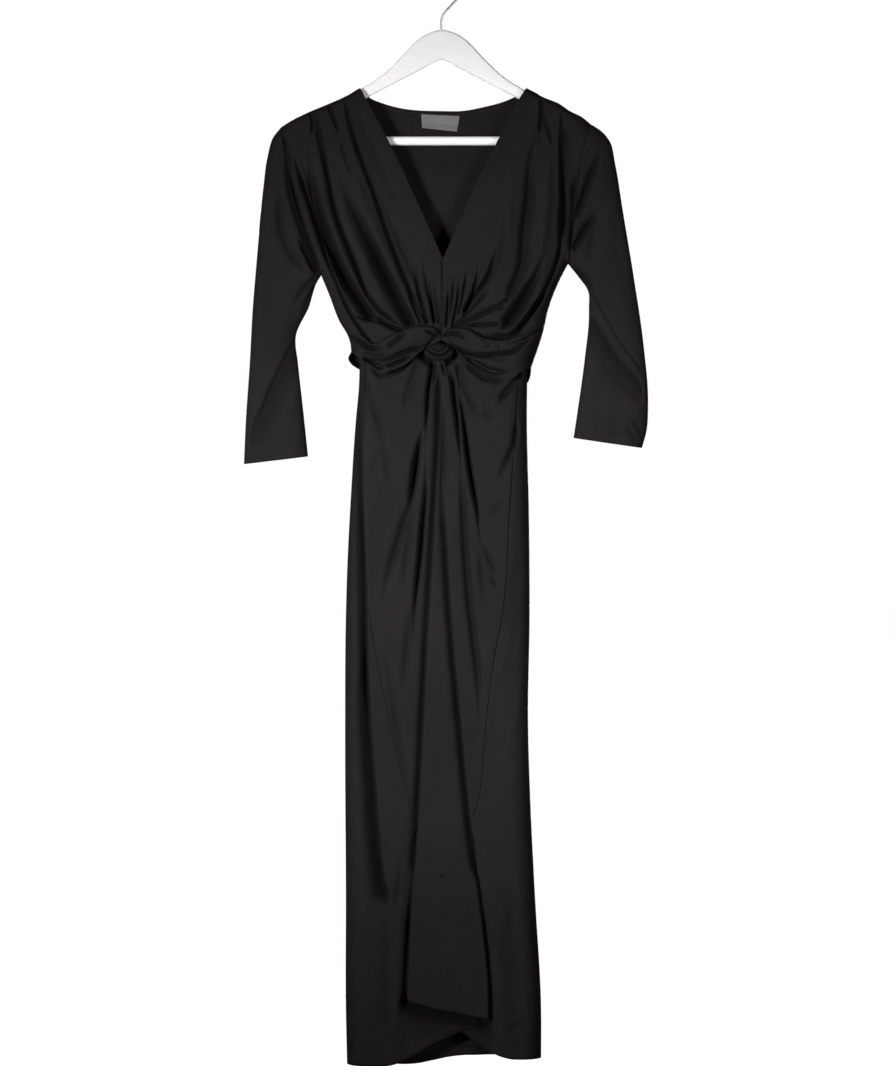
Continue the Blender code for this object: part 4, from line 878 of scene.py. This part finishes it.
backBodice["extra"] = backSag
backBodiceEdges = (
    edge((lines["leftShoulder"], 0.25), (lines["backNeck"], 0.5, "round"),
         (lines["rightShoulder"][::-1], 0.25)),
    edge((lines["backWaist"], 1.0)),
    edge((lines["leftArmhole"], 0.6, "round"), (lines["leftSide"], 0.3), (lines["leftWaistSide"], 0.1)),
    edge((lines["rightArmhole"], 0.6, "round"), (lines["rightSide"], 0.3), (lines["rightWaistSide"], 0.1)),
)
backBodice["object"] = draped(backBodice, work, order, patch(*backBodiceEdges, u, v))
place(backBodice["object"], clothMaterial, "jersey", backBodice["node"])
print("back bodice made")

# Three-quarter sleeves: flattened tubes from the armhole to the cuff. The turn is 0 to 0.5 over the front
# and on to 1 over the back.
sleeve = {
    "left": {"name": "sleeveLeft", "node": "sleeve_left", "folds": leftArmFolds, "flat": (0.27, 0.45),
             "area": 0.063, "seed": 11},
    "right": {"name": "sleeveRight", "node": "sleeve_right", "folds": rightArmFolds, "flat": (0.28, 0.45),
              "area": 0.067, "seed": 13},
}
for side, piece in sleeve.items():
    piece.update(around=120, rows=150, sides="arm", ripple=0.45)
    cuff = np.array((lines[side + "ArmOuter"][-1], lines[side + "ArmInner"][-1]))
    piece["cuff"] = cuff
    piece["grooves"] = ((moved(cuff, 0, -8.5), 0.5, 1.0), (lines[side + "Armhole"], 0.9, 1.2))
    work, turn, v, order = gridMesh(piece["around"], piece["rows"])
    u = (1 - np.cos(2 * math.pi * turn)) / 2
    v = form["sleeveStart"] + (1 - form["sleeveStart"]) * v
    inward = 1 if side == "left" else -1
    armhole = swelled(lines[side + "Armhole"], form["underSeam"] * inward)
    armhole[0] = placesAt(lines[side + "Shoulder"], form["cornerTuck"])
    outerLine = np.vstack((armhole[:1], lines[side + "ArmOuter"]))
    piece["extra"] = underSeam(lines[side + "Armhole"], form["underSeam"], -inward)
    points = patch(edge((armhole, 1.0)), edge((cuff, 1.0)),
                   edge((outerLine, 1.0)), edge((lines[side + "ArmInner"], 1.0)), u, v)
    front = dict(piece, back=False)
    behind = dict(piece, back=True, folds=backSleeveFolds[side], seed=piece["seed"] + 1)
    frontOuter, frontWay, frontPaintedShade = cloth(points, front)
    backOuter, backWay, backPaintedShade = cloth(points, behind)
    isBack = (turn > 0.5)[:, None]
    outer = np.where(isBack, backOuter, frontOuter)
    outward = np.where(isBack, backWay, frontWay)
    paintedShade = np.where(isBack[:, 0], backPaintedShade, frontPaintedShade)
    outer[(np.abs(turn - 0.5) > 0.4995) | (np.abs(turn - 0.5) < 0.0005), 1] = 0
    piece["front"], piece["behind"] = front, behind
    piece["object"] = makeShell(piece["name"], work, order, outer, outward, paintedShade, form["wall"], tube=True)
    place(piece["object"], clothMaterial, "jersey", piece["node"])
print("sleeves made")


# How far the skirt lies in at the waist, and how the centre panel comes out again at its free foot
def waistTuck(points):
    return form["waistTuck"] * (1 - ease((points[:, 1] - form["tuckDrop"]) / form["tuckRun"]))


def centreLift(points):
    return waistTuck(points) - form["pleatLift"] * ease((points[:, 1] - form["liftDrop"]) / form["liftRun"])


# Skirt front: the draped centre panel, crowded into gathers below the knot
skirtCentre = {"name": "skirtCentre", "node": "skirt_front_centre", "columns": 120, "rows": 330,
               "folds": {**centreSkirtFolds, **leftSkirtFolds}, "extra": centreLift, "back": False,
               "sides": "skirt", "ripple": 0.4, "seed": 17, "flat": (0.25, 0.90), "area": 0.145,
               "grooves": ((lines["leftPanelSeam"], 0.35, 1.0), (lines["rightPanelSeam"], 0.35, 1.0),
                           (lines["leftPleatEdge"], 1.6, 1.5), (lines["rightPleatEdge"], 1.6, 1.5),
                           (moved(lines["pleatHem"], 0, -10), 0.4, 0.9), (lines["pleatHem"], 1.0, 1.2))}
work, u, v, order = gridMesh(skirtCentre["columns"], skirtCentre["rows"])
halfSeam = form["seam"] / 2
crowded = 0.5 + 0.5 * np.sign(2 * u - 1) * np.abs(2 * u - 1) ** 1.5
spread = ease(v / 0.4)
u = crowded * (1 - spread) + u * spread
points = patch(
    edge((lines["leftPanelTop"], 0.5), (lines["rightPanelTop"], 0.5)),
    edge((lines["pleatHem"], 1.0)),
    edge((moved(lines["leftPanelSeam"], halfSeam), 0.7), (moved(lines["leftPleatEdge"], halfSeam), 0.3)),
    edge((moved(lines["rightPanelSeam"], -halfSeam), 0.7), (moved(lines["rightPleatEdge"], -halfSeam), 0.3)),
    u, v)
skirtCentre["object"] = draped(skirtCentre, work, order, points)
place(skirtCentre["object"], stainedMaterial, "jersey", skirtCentre["node"])
print("centre of the skirt made")


# Side panels: the inner edge follows the curved seam, then runs on under the centre panel
def underCentre(side):
    left = side == "left"
    pleat = lines[side + "PleatEdge"]

    def tuck(points):
        panelEdge = np.interp(points[:, 1], pleat[:, 1], pleat[:, 0])
        out = panelEdge - points[:, 0] if left else points[:, 0] - panelEdge
        low = ease((points[:, 1] - form["splitDrop"]) / form["underlapRun"])
        seamTuck = underSeam(lines[side + "PanelSeam"], form["underSeam"], -1 if left else 1)(points)
        covered = 1 - ease((out + 2) / form["underlapFade"])
        return waistTuck(points) + seamTuck * (1 - low) + form["underlap"][side] * low * covered

    return tuck


# Painted shade of the free pleat on what hangs behind it, most of all just below its hem. Each end of
# the shade is (reach, length): on the left and right of the hem, and above and below it.
pleatShadePaint = {"shade": 0.7, "left": (12, 20), "right": (10, 12), "above": (20, 12), "below": (4, 55)}


def paintedPleatShade(points):
    hem = lines["pleatHem"]
    below = points[:, 1] - np.interp(points[:, 0], hem[:, 0], hem[:, 1])
    left = ease((points[:, 0] - hem[0, 0] + pleatShadePaint["left"][0]) / pleatShadePaint["left"][1])
    right = ease((hem[-1, 0] + pleatShadePaint["right"][0] - points[:, 0]) / pleatShadePaint["right"][1])
    above = ease((below + pleatShadePaint["above"][0]) / pleatShadePaint["above"][1])
    gone = ease((below - pleatShadePaint["below"][0]) / pleatShadePaint["below"][1])
    return pleatShadePaint["shade"] * (left * right) * above * (1 - gone)


skirtSide = {
    "left": {"name": "skirtLeft", "node": "skirt_front_left", "columns": 60, "rows": 330,
             "folds": {**leftSkirtFolds, **centreSkirtFolds, **underPleatFolds},
             "flat": (0.18, 0.93), "area": 0.085, "seed": 17},
    "right": {"name": "skirtRight", "node": "skirt_front_right", "columns": 60, "rows": 330,
              "folds": {**rightSkirtFolds, **centreSkirtFolds, **underPleatFolds},
              "flat": (0.15, 0.91), "area": 0.072, "seed": 17},
}
for side, piece in skirtSide.items():
    shift = form["underSeam"] if side == "left" else -form["underSeam"]
    hem = lines[side + "Hem"]
    piece.update(back=False, sides="skirt", ripple=0.4, extra=underCentre(side))
    piece["grooves"] = ((lines[side + "PanelSeam"], 0.35, 1.0), (moved(hem, 0, -10.5), 0.4, 0.9),
                        (hem, 0.8, 1.2))
    work, u, v, order = gridMesh(piece["columns"], piece["rows"])
    u = u ** 1.5
    sideLine = lines[side + "SkirtSide"]
    seam = moved(lines[side + "PanelSeam"], shift)
    under = moved(lines[side + "Underlap"], shift)
    points = patch(edge((np.array((sideLine[0], seam[0])), 1.0)), edge((hem, 1.0)),
                   edge((sideLine, 1.0)), edge((seam, 0.7), (under, 0.3)), u, v)
    # The side panels take painted shade below the free pleat
    piece["object"] = draped(piece, work, order, points, paintedPleatShade(points))
    place(piece["object"], clothMaterial, "jersey", piece["node"])
print("sides of the skirt made")

skirtBack = {"name": "skirtBack", "node": "skirt_back", "columns": 84, "rows": 170, "folds": backFolds,
             "grooves": ((moved(lines["backHem"], 0, -10.5), 0.4, 0.9), (lines["backHem"], 0.8, 1.2)),
             "back": True, "sides": "skirt", "ripple": 0.6, "seed": 19, "flat": (0.30, 0.93), "area": 0.240}
work, u, v, order = gridMesh(skirtBack["columns"], skirtBack["rows"])
u = (1 - np.cos(u * math.pi)) / 2


# The part of a line below a drop
def fromDrop(line, drop):
    return np.vstack(((np.interp(drop, line[:, 1], line[:, 0]), drop), line[line[:, 1] > drop + 1]))


waistLine = moved(lines["backWaist"], 0, form["seam"])
points = patch(edge((waistLine, 1.0)), edge((lines["backHem"], 1.0)),
               edge((fromDrop(lines["leftSkirtSide"], waistLine[0][1]), 1.0)),
               edge((fromDrop(lines["rightSkirtSide"], waistLine[-1][1]), 1.0)), u, v)
skirtBack["object"] = draped(skirtBack, work, order, points)
place(skirtBack["object"], clothMaterial, "jersey", skirtBack["node"])
print("back of the skirt made")

# The knot that both twist ends are tied into. A wrap is (ring, width, depth) of the crease around it, and
# rings widen from the knot's top.
knot = {"name": "twistKnot", "node": "knot", "across": -4.0, "drop": 496.5, "depth": -31.0,
        "halfWidth": 19.0, "halfHeight": 11.5, "front": 14.0, "behind": 3.0, "lean": 0.08, "oval": 0.8,
        "creaseShade": 2.6, "edgeShade": 0.6, "edge": 0.3,
        "wraps": ((0.2, 0.05, 0.2), (0.44, 0.06, 0.3), (0.72, 0.07, 0.42))}
work = bmesh.new()
bmesh.ops.create_uvsphere(work, u_segments=96, v_segments=64, radius=1, calc_uvs=False)
pattern = work.loops.layers.uv.new("knit")
for face in work.faces:
    for loop in face.loops:
        ball = loop.vert.co
        loop[pattern].uv = (ball.x * knot["halfWidth"] * mm, ball.z * knot["halfHeight"] * mm)
hollow = work.verts.layers.float.new("hollow")
for corner in work.verts:
    ball = corner.co.copy()
    ring = math.hypot(knot["oval"] * (ball.x + knot["lean"] * ball.z), 0.5 - 0.5 * ball.z)
    # Painted shade: the knot's colour darkens in the creases of its wraps and towards its back rim
    crease = sum(deep * math.exp(-((ring - at) / wide) ** 2) for at, wide, deep in knot["wraps"])
    edgeShade = knot["edgeShade"] * ease((ball.y + knot["edge"]) / knot["edge"])
    corner[hollow] = min(1.0, crease * knot["creaseShade"] + edgeShade)
    reach = knot["front"] if ball.y < 0 else knot["behind"]
    corner.co = ((knot["across"] + ball.x * knot["halfWidth"]) * mm,
                 (knot["depth"] + ball.y * reach * (1 - crease)) * mm,
                 (-knot["drop"] + ball.z * knot["halfHeight"]) * mm)
knotObject = addObject(knot["name"], work)
place(knotObject, clothMaterial, "jersey", knot["node"])
print("knot made")

# The satin label inside the back neck
label = {"name": "neckLabel", "node": "neck_label", "top": ((-27, 185), (23, 187.5)),
         "foot": ((-26, 203), (19.5, 208)), "gap": 0.5, "thick": 0.35, "columns": 60, "rows": 24,
         "curl": 1.1, "curlStart": 0.55, "wave": 0.25, "warp": 0.32 * mm, "weft": 1.1 * mm,
         "colour": (0.125, 0.125, 0.128, 1), "roughness": 0.42, "flat": (0.05, 0.021)}
labelMaterial, tree, shader = newMaterial("labelSatin", label["colour"], label["roughness"],
                                          Specular_IOR_Level=0.3, Sheen_Weight=0.05)
along, up = parts(tree, addNode(tree, "ShaderNodeUVMap", {"uv_map": "knit"}))[:2]
across, down = (along * (2 * math.pi / label["weft"])).sine(), (up * (2 * math.pi / label["warp"])).sine()
satin = down * 0.6 + across * 0.25
feed(tree, shader, Normal=bump(tree, satin, 0.4, 0.05 * mm), Roughness=label["roughness"] + satin * 0.04)
work, u, v, order = gridMesh(label["columns"], label["rows"])
top, foot = np.array(label["top"], float), np.array(label["foot"], float)
upper = top[0] + u[:, None] * (top[1] - top[0])
lower = foot[0] + u[:, None] * (foot[1] - foot[0])
points = upper + v[:, None] * (lower - upper)
backPlaces, backWay = cloth(points, backBodice)[:2]
curl = label["curl"] * ease((v - label["curlStart"]) / (1 - label["curlStart"]))
curl += label["wave"] * np.sin(u * 9) * v
near = backPlaces - backWay * (form["wall"] + 0.2) * mm
near[:, 1] -= (label["gap"] + curl) * mm
labelObject = makeShell(label["name"], work, order, near, np.tile((0.0, -1.0, 0.0), (len(near), 1)),
                        np.zeros(len(near)), label["thick"])
place(labelObject, labelMaterial, "label_satin", label["node"])
print("label made")

# Flat wooden hanger, painted white: half of its outline from the top to the tip and back under the arm
hanger = {
    "half": ((0, 76), (14, 79.5), (24, 84.5), (33, 91), (41, 99), (51, 110), (65, 124.5), (77, 135.5),
             (90, 145), (100, 150.5), (109, 156.5), (120, 163), (137, 171.5), (148, 176.5), (167, 186),
             (182, 196.5), (189, 205), (193, 212), (194.5, 219), (194, 228), (191, 233), (186, 233),
             (183, 229), (183, 213), (176, 206), (165, 200), (96, 164.6), (0, 115)),
    "thick": 11.0, "round": 3.4, "barRadius": 5.85, "barDrop": 221.0, "barEnd": 182.6,
    "wireRadius": 1.4, "hookRadius": 24.0, "hookFrom": -52.0, "hookTo": 200.0, "hookSteps": 48,
    "stem": ((-1, 75.7), (-1, 70), (-0.8, 64.5), (1.2, 57.5), (6.5, 50.5)),
    "paint": (0.93, 0.925, 0.915, 1), "shaded": (0.88, 0.875, 0.865, 1), "grain": (12.0, 60.0, 160.0),
    "wire": (0.78, 0.79, 0.80, 1),
}
paint, tree, shader = newMaterial("whitePaintedWood", hanger["paint"], 0.34, Coat_Weight=0.25,
                                  Coat_Roughness=0.25)
places = addNode(tree, "ShaderNodeTexCoord", result=3)
stretched = addNode(tree, "ShaderNodeMapping", sockets={"Vector": places, "Scale": hanger["grain"]})
grain = noise(tree, stretched, 3.0, 5.0)
feed(tree, shader,
     Base_Color=mixColours(tree, smoothStep(tree, grain, 0.35, 0.75), hanger["shaded"], hanger["paint"]),
     Roughness=0.3 + grain * 0.14, Normal=bump(tree, grain, 0.25, 0.2 * mm))
chrome, tree, shader = newMaterial("hookWire", hanger["wire"], 0.35, Metallic=1.0)
places = addNode(tree, "ShaderNodeTexCoord", result=3)
feed(tree, shader, Roughness=0.27 + noise(tree, places, 420.0, 3.0) * 0.16)

outline = [*hanger["half"], *((-across, drop) for across, drop in hanger["half"][-2:0:-1])]
work = bmesh.new()
bmesh.ops.create_circle(work, cap_ends=True, segments=len(outline), radius=1)
for corner, (across, drop) in zip(list(work.verts), outline):
    corner.co = (across * mm, -hanger["thick"] / 2 * mm, -drop * mm)
made = bmesh.ops.extrude_face_region(work, geom=list(work.faces), use_keep_orig=True)
grown = [item for item in made["geom"] if isinstance(item, bmesh.types.BMVert)]
bmesh.ops.translate(work, verts=grown, vec=(0, hanger["thick"] * mm, 0))
bmesh.ops.recalc_face_normals(work, faces=list(work.faces))
rims = [rim for rim in work.edges if abs(rim.verts[0].co.y - rim.verts[1].co.y) < 1e-6]
bmesh.ops.bevel(work, geom=rims, offset=hanger["round"] * mm, offset_type="OFFSET", segments=5, profile=0.5,
                affect="EDGES", material=-1, clamp_overlap=True)
hangerBody = addObject("hangerBody", work)
place(hangerBody, paint, "white_wood", "hanger_body")

# The bar: a rod that lies across the arms
work = bmesh.new()
lying = Matrix.Translation((0, 0, -hanger["barDrop"] * mm)) @ Matrix.Rotation(math.pi / 2, 4, "Y")
bmesh.ops.create_cone(work, cap_ends=True, segments=48, radius1=hanger["barRadius"] * mm,
                      radius2=hanger["barRadius"] * mm, depth=2 * hanger["barEnd"] * mm, matrix=lying)
hangerBar = addObject("hangerBar", work)
hangerBar.data.set_sharp_from_angle(angle=math.radians(40))
place(hangerBar, paint, "white_wood", "hanger_bar")

# The hook: a short cylinder of wire whose end face is drawn out along the route
centreDrop = hanger["hookRadius"] - hanger["wireRadius"]
route = [Vector((across, 0, -drop)) * mm for across, drop in hanger["stem"]]
swing = hanger["hookTo"] - hanger["hookFrom"]
for step in range(hanger["hookSteps"] + 1):
    angle = math.radians(hanger["hookFrom"] + swing * step / hanger["hookSteps"])
    route.append(Vector((hanger["hookRadius"] * math.cos(angle), 0,
                         hanger["hookRadius"] * math.sin(angle) - centreDrop)) * mm)
work = bmesh.new()
bmesh.ops.create_cone(work, cap_ends=True, segments=16, radius1=hanger["wireRadius"] * mm,
                      radius2=hanger["wireRadius"] * mm, depth=2 * mm)
starting = [corner for corner in work.verts if corner.co.z < 0]
face = next(cap for cap in work.faces if all(corner.co.z > 0 for corner in cap.verts))
startShape = [Vector((corner.co.x, corner.co.y, 0)) for corner in starting]
ringShape = [Vector((corner.co.x, corner.co.y, 0)) for corner in face.verts]


# Sets a ring of corners, given flat, at a spot on the route and square to it
def settleRing(corners, flats, spot, ahead):
    turn = Vector((0, 0, 1)).rotation_difference(ahead.normalized())
    for corner, flat in zip(corners, flats):
        corner.co = spot + turn @ flat


settleRing(starting, startShape, route[0], route[1] - route[0])
settleRing(list(face.verts), ringShape, route[1], route[2] - route[0])
for number in range(2, len(route)):
    face = bmesh.ops.extrude_discrete_faces(work, faces=[face])["faces"][0]
    ahead = route[min(number + 1, len(route) - 1)] - route[number - 1]
    settleRing(list(face.verts), ringShape, route[number], ahead)
bmesh.ops.recalc_face_normals(work, faces=list(work.faces))
hangerHook = addObject("hangerHook", work)
hangerHook.data.set_sharp_from_angle(angle=math.radians(50))
place(hangerHook, chrome, "hook_wire", "hanger_hook")
print("hanger made")


# A row of stitches on a piece: tiny threads laid on its outside, or its inside, along a line. They lean
# one way and the other by turns.
def stitchRow(work, line, piece, pitch=3.2, length=2.1, radius=0.27, inside=False, lean=0.0):
    at = np.arange(pitch / 2, lengthAlong(line)[-1], pitch)
    points = placesAt(line, at)
    ahead = placesAt(line, at + 0.5)
    run = ahead - points
    beside = points + np.column_stack((-run[:, 1], run[:, 0]))
    here, way = cloth(points, piece)[:2]
    front = cloth(ahead, piece)[0] - here
    over = cloth(beside, piece)[0] - here
    for number in range(len(at)):
        along = Vector(front[number]).normalized()
        up = Vector(np.cross(front[number], over[number])).normalized()
        if up.dot(Vector(way[number])) < 0:
            up = -up
        spot = Vector(here[number])
        if inside:
            up = -up
            spot += up * (form["wall"] + 0.05) * mm
        side = up.cross(along)
        if lean:
            tilt = lean if number % 2 else -lean
            along = (along * math.cos(tilt) + side * math.sin(tilt)).normalized()
            side = up.cross(along)
        turn = Matrix((along, side, up)).transposed().to_4x4()
        size = Matrix.Diagonal((length / 2 * mm, radius * mm, radius * mm, 1))
        bmesh.ops.create_icosphere(work, subdivisions=1, radius=1,
                                   matrix=Matrix.Translation(spot + up * 0.08 * mm) @ turn @ size)


def stitches(name, rows):
    work = bmesh.new()
    for row in rows:
        stitchRow(work, **row)
    thing = addObject(name, work)
    return place(thing, threadMaterial, "jersey")


# The part of a line between two shares of its length
def between(line, low, high):
    return placesAt(line, np.linspace(low, high, 40) * lengthAlong(line)[-1])


neckRow = moved(between(lines["backNeck"], 0.04, 0.96), 0, 4.6)
stitches("neckStitches", [
    {"line": neckRow, "piece": backBodice, "inside": True},
    {"line": neckRow, "piece": backBodice},
])
stitches("hemStitches", [
    {"line": moved(between(lines[name], 0.02, 0.98), 0, -rise), "piece": piece}
    for name, piece in (("leftHem", skirtSide["left"]), ("rightHem", skirtSide["right"]),
                        ("backHem", skirtBack), ("pleatHem", skirtCentre))
    for rise in (9.0, 12.2)
])
stitches("overlockStitches", [
    {"line": moved(between(lines["backHem"], 0.06, 0.94), 0, -17), "piece": skirtBack, "inside": True,
     "pitch": 2.2, "length": 3.4, "radius": 0.3, "lean": 0.9},
])
stitches("cuffStitches", [
    {"line": moved(between(piece["cuff"], 0.03, 0.97), 0, -rise), "piece": layer}
    for piece in sleeve.values() for layer in (piece["front"], piece["behind"]) for rise in (7.0, 9.8)
])
twistSeam = smoothLine(((70, 488), (99, 485), (120, 474), (134, 465)))
stitches("waistStitches", [{"line": twistSeam, "piece": frontBodice["right"], "pitch": 3.4}])
print("stitches made")

# Pale floor, soft studio light and the camera
ground = {"colour": (0.93, 0.93, 0.93, 1), "roughness": 0.9, "glow": 1.0, "halfSize": 30, "up": -1.62}
floorMaterial = newMaterial("paleFloor", ground["colour"], ground["roughness"],
                            Emission_Color=(1, 1, 1, 1), Emission_Strength=ground["glow"])[0]
work = bmesh.new()
bmesh.ops.create_grid(work, x_segments=1, y_segments=1, size=ground["halfSize"])
bmesh.ops.translate(work, verts=list(work.verts), vec=(0, 0, ground["up"]))
floor = addObject("floor", work)
floor.data.materials.append(floorMaterial)
floor.visible_diffuse = False
floor.visible_glossy = False

studio = {
    "backdrop": 1.0,          # brightness behind the dress
    "spread": 29.0,           # how widely each lamp shines
    "sky": 0.035,             # brightness of the room on the dress
    "lamps": (
        # name, place, aimed at, size, power
        ("left", (-1.95, -2.8, -0.72), (0.0, 0.0, -0.74), 1.0, 8.2),
        ("right", (1.8, -2.9, -0.72), (0.0, 0.0, -0.74), 1.1, 3.05),
        ("behind", (0.5, 3.6, -0.5), (0.0, 0.0, -0.72), 1.6, 12.0),
    ),
}
world = bpy.data.worlds.new("studio")
bpy.context.scene.world = world
world.use_nodes = True
tree = world.node_tree
paper = tree.nodes["Background"]
paper.inputs["Color"].default_value = (1, 1, 1, 1)
paper.inputs["Strength"].default_value = studio["backdrop"]
room = addNode(tree, "ShaderNodeBackground", sockets={"Color": (1, 1, 1, 1), "Strength": studio["sky"]})
seen = addNode(tree, "ShaderNodeLightPath")
both = addNode(tree, "ShaderNodeMixShader", sockets={0: seen, 1: room, 2: Wire(tree, paper.outputs[0])})
tree.links.new(both.socket, tree.nodes["World Output"].inputs["Surface"])
for name, spot, aim, size, power in studio["lamps"]:
    lamp = bpy.data.lights.new(name, "AREA")
    lamp.shape = "DISK"
    lamp.size = size
    lamp.energy = power
    lamp.spread = math.radians(studio["spread"])
    holder = bpy.data.objects.new(name, lamp)
    holder.location = spot
    holder.rotation_euler = (Vector(aim) - Vector(spot)).to_track_quat("-Z", "Y").to_euler()
    bpy.context.scene.collection.objects.link(holder)

view = {"across": 0.0052, "up": -0.7306, "away": 6.0, "height": 1.3858}
camera = bpy.data.cameras.new("camera")
camera.sensor_fit = "VERTICAL"
camera.sensor_height = 36.0
camera.lens = 36.0 * view["away"] / view["height"]
camera.clip_end = 100
viewer = bpy.data.objects.new("camera", camera)
viewer.location = (view["across"], -view["away"], view["up"])
viewer.rotation_euler = (math.pi / 2, 0, 0)
bpy.context.scene.collection.objects.link(viewer)
bpy.context.scene.camera = viewer
bpy.context.scene.view_settings.view_transform = "Standard"

print("scene ready")
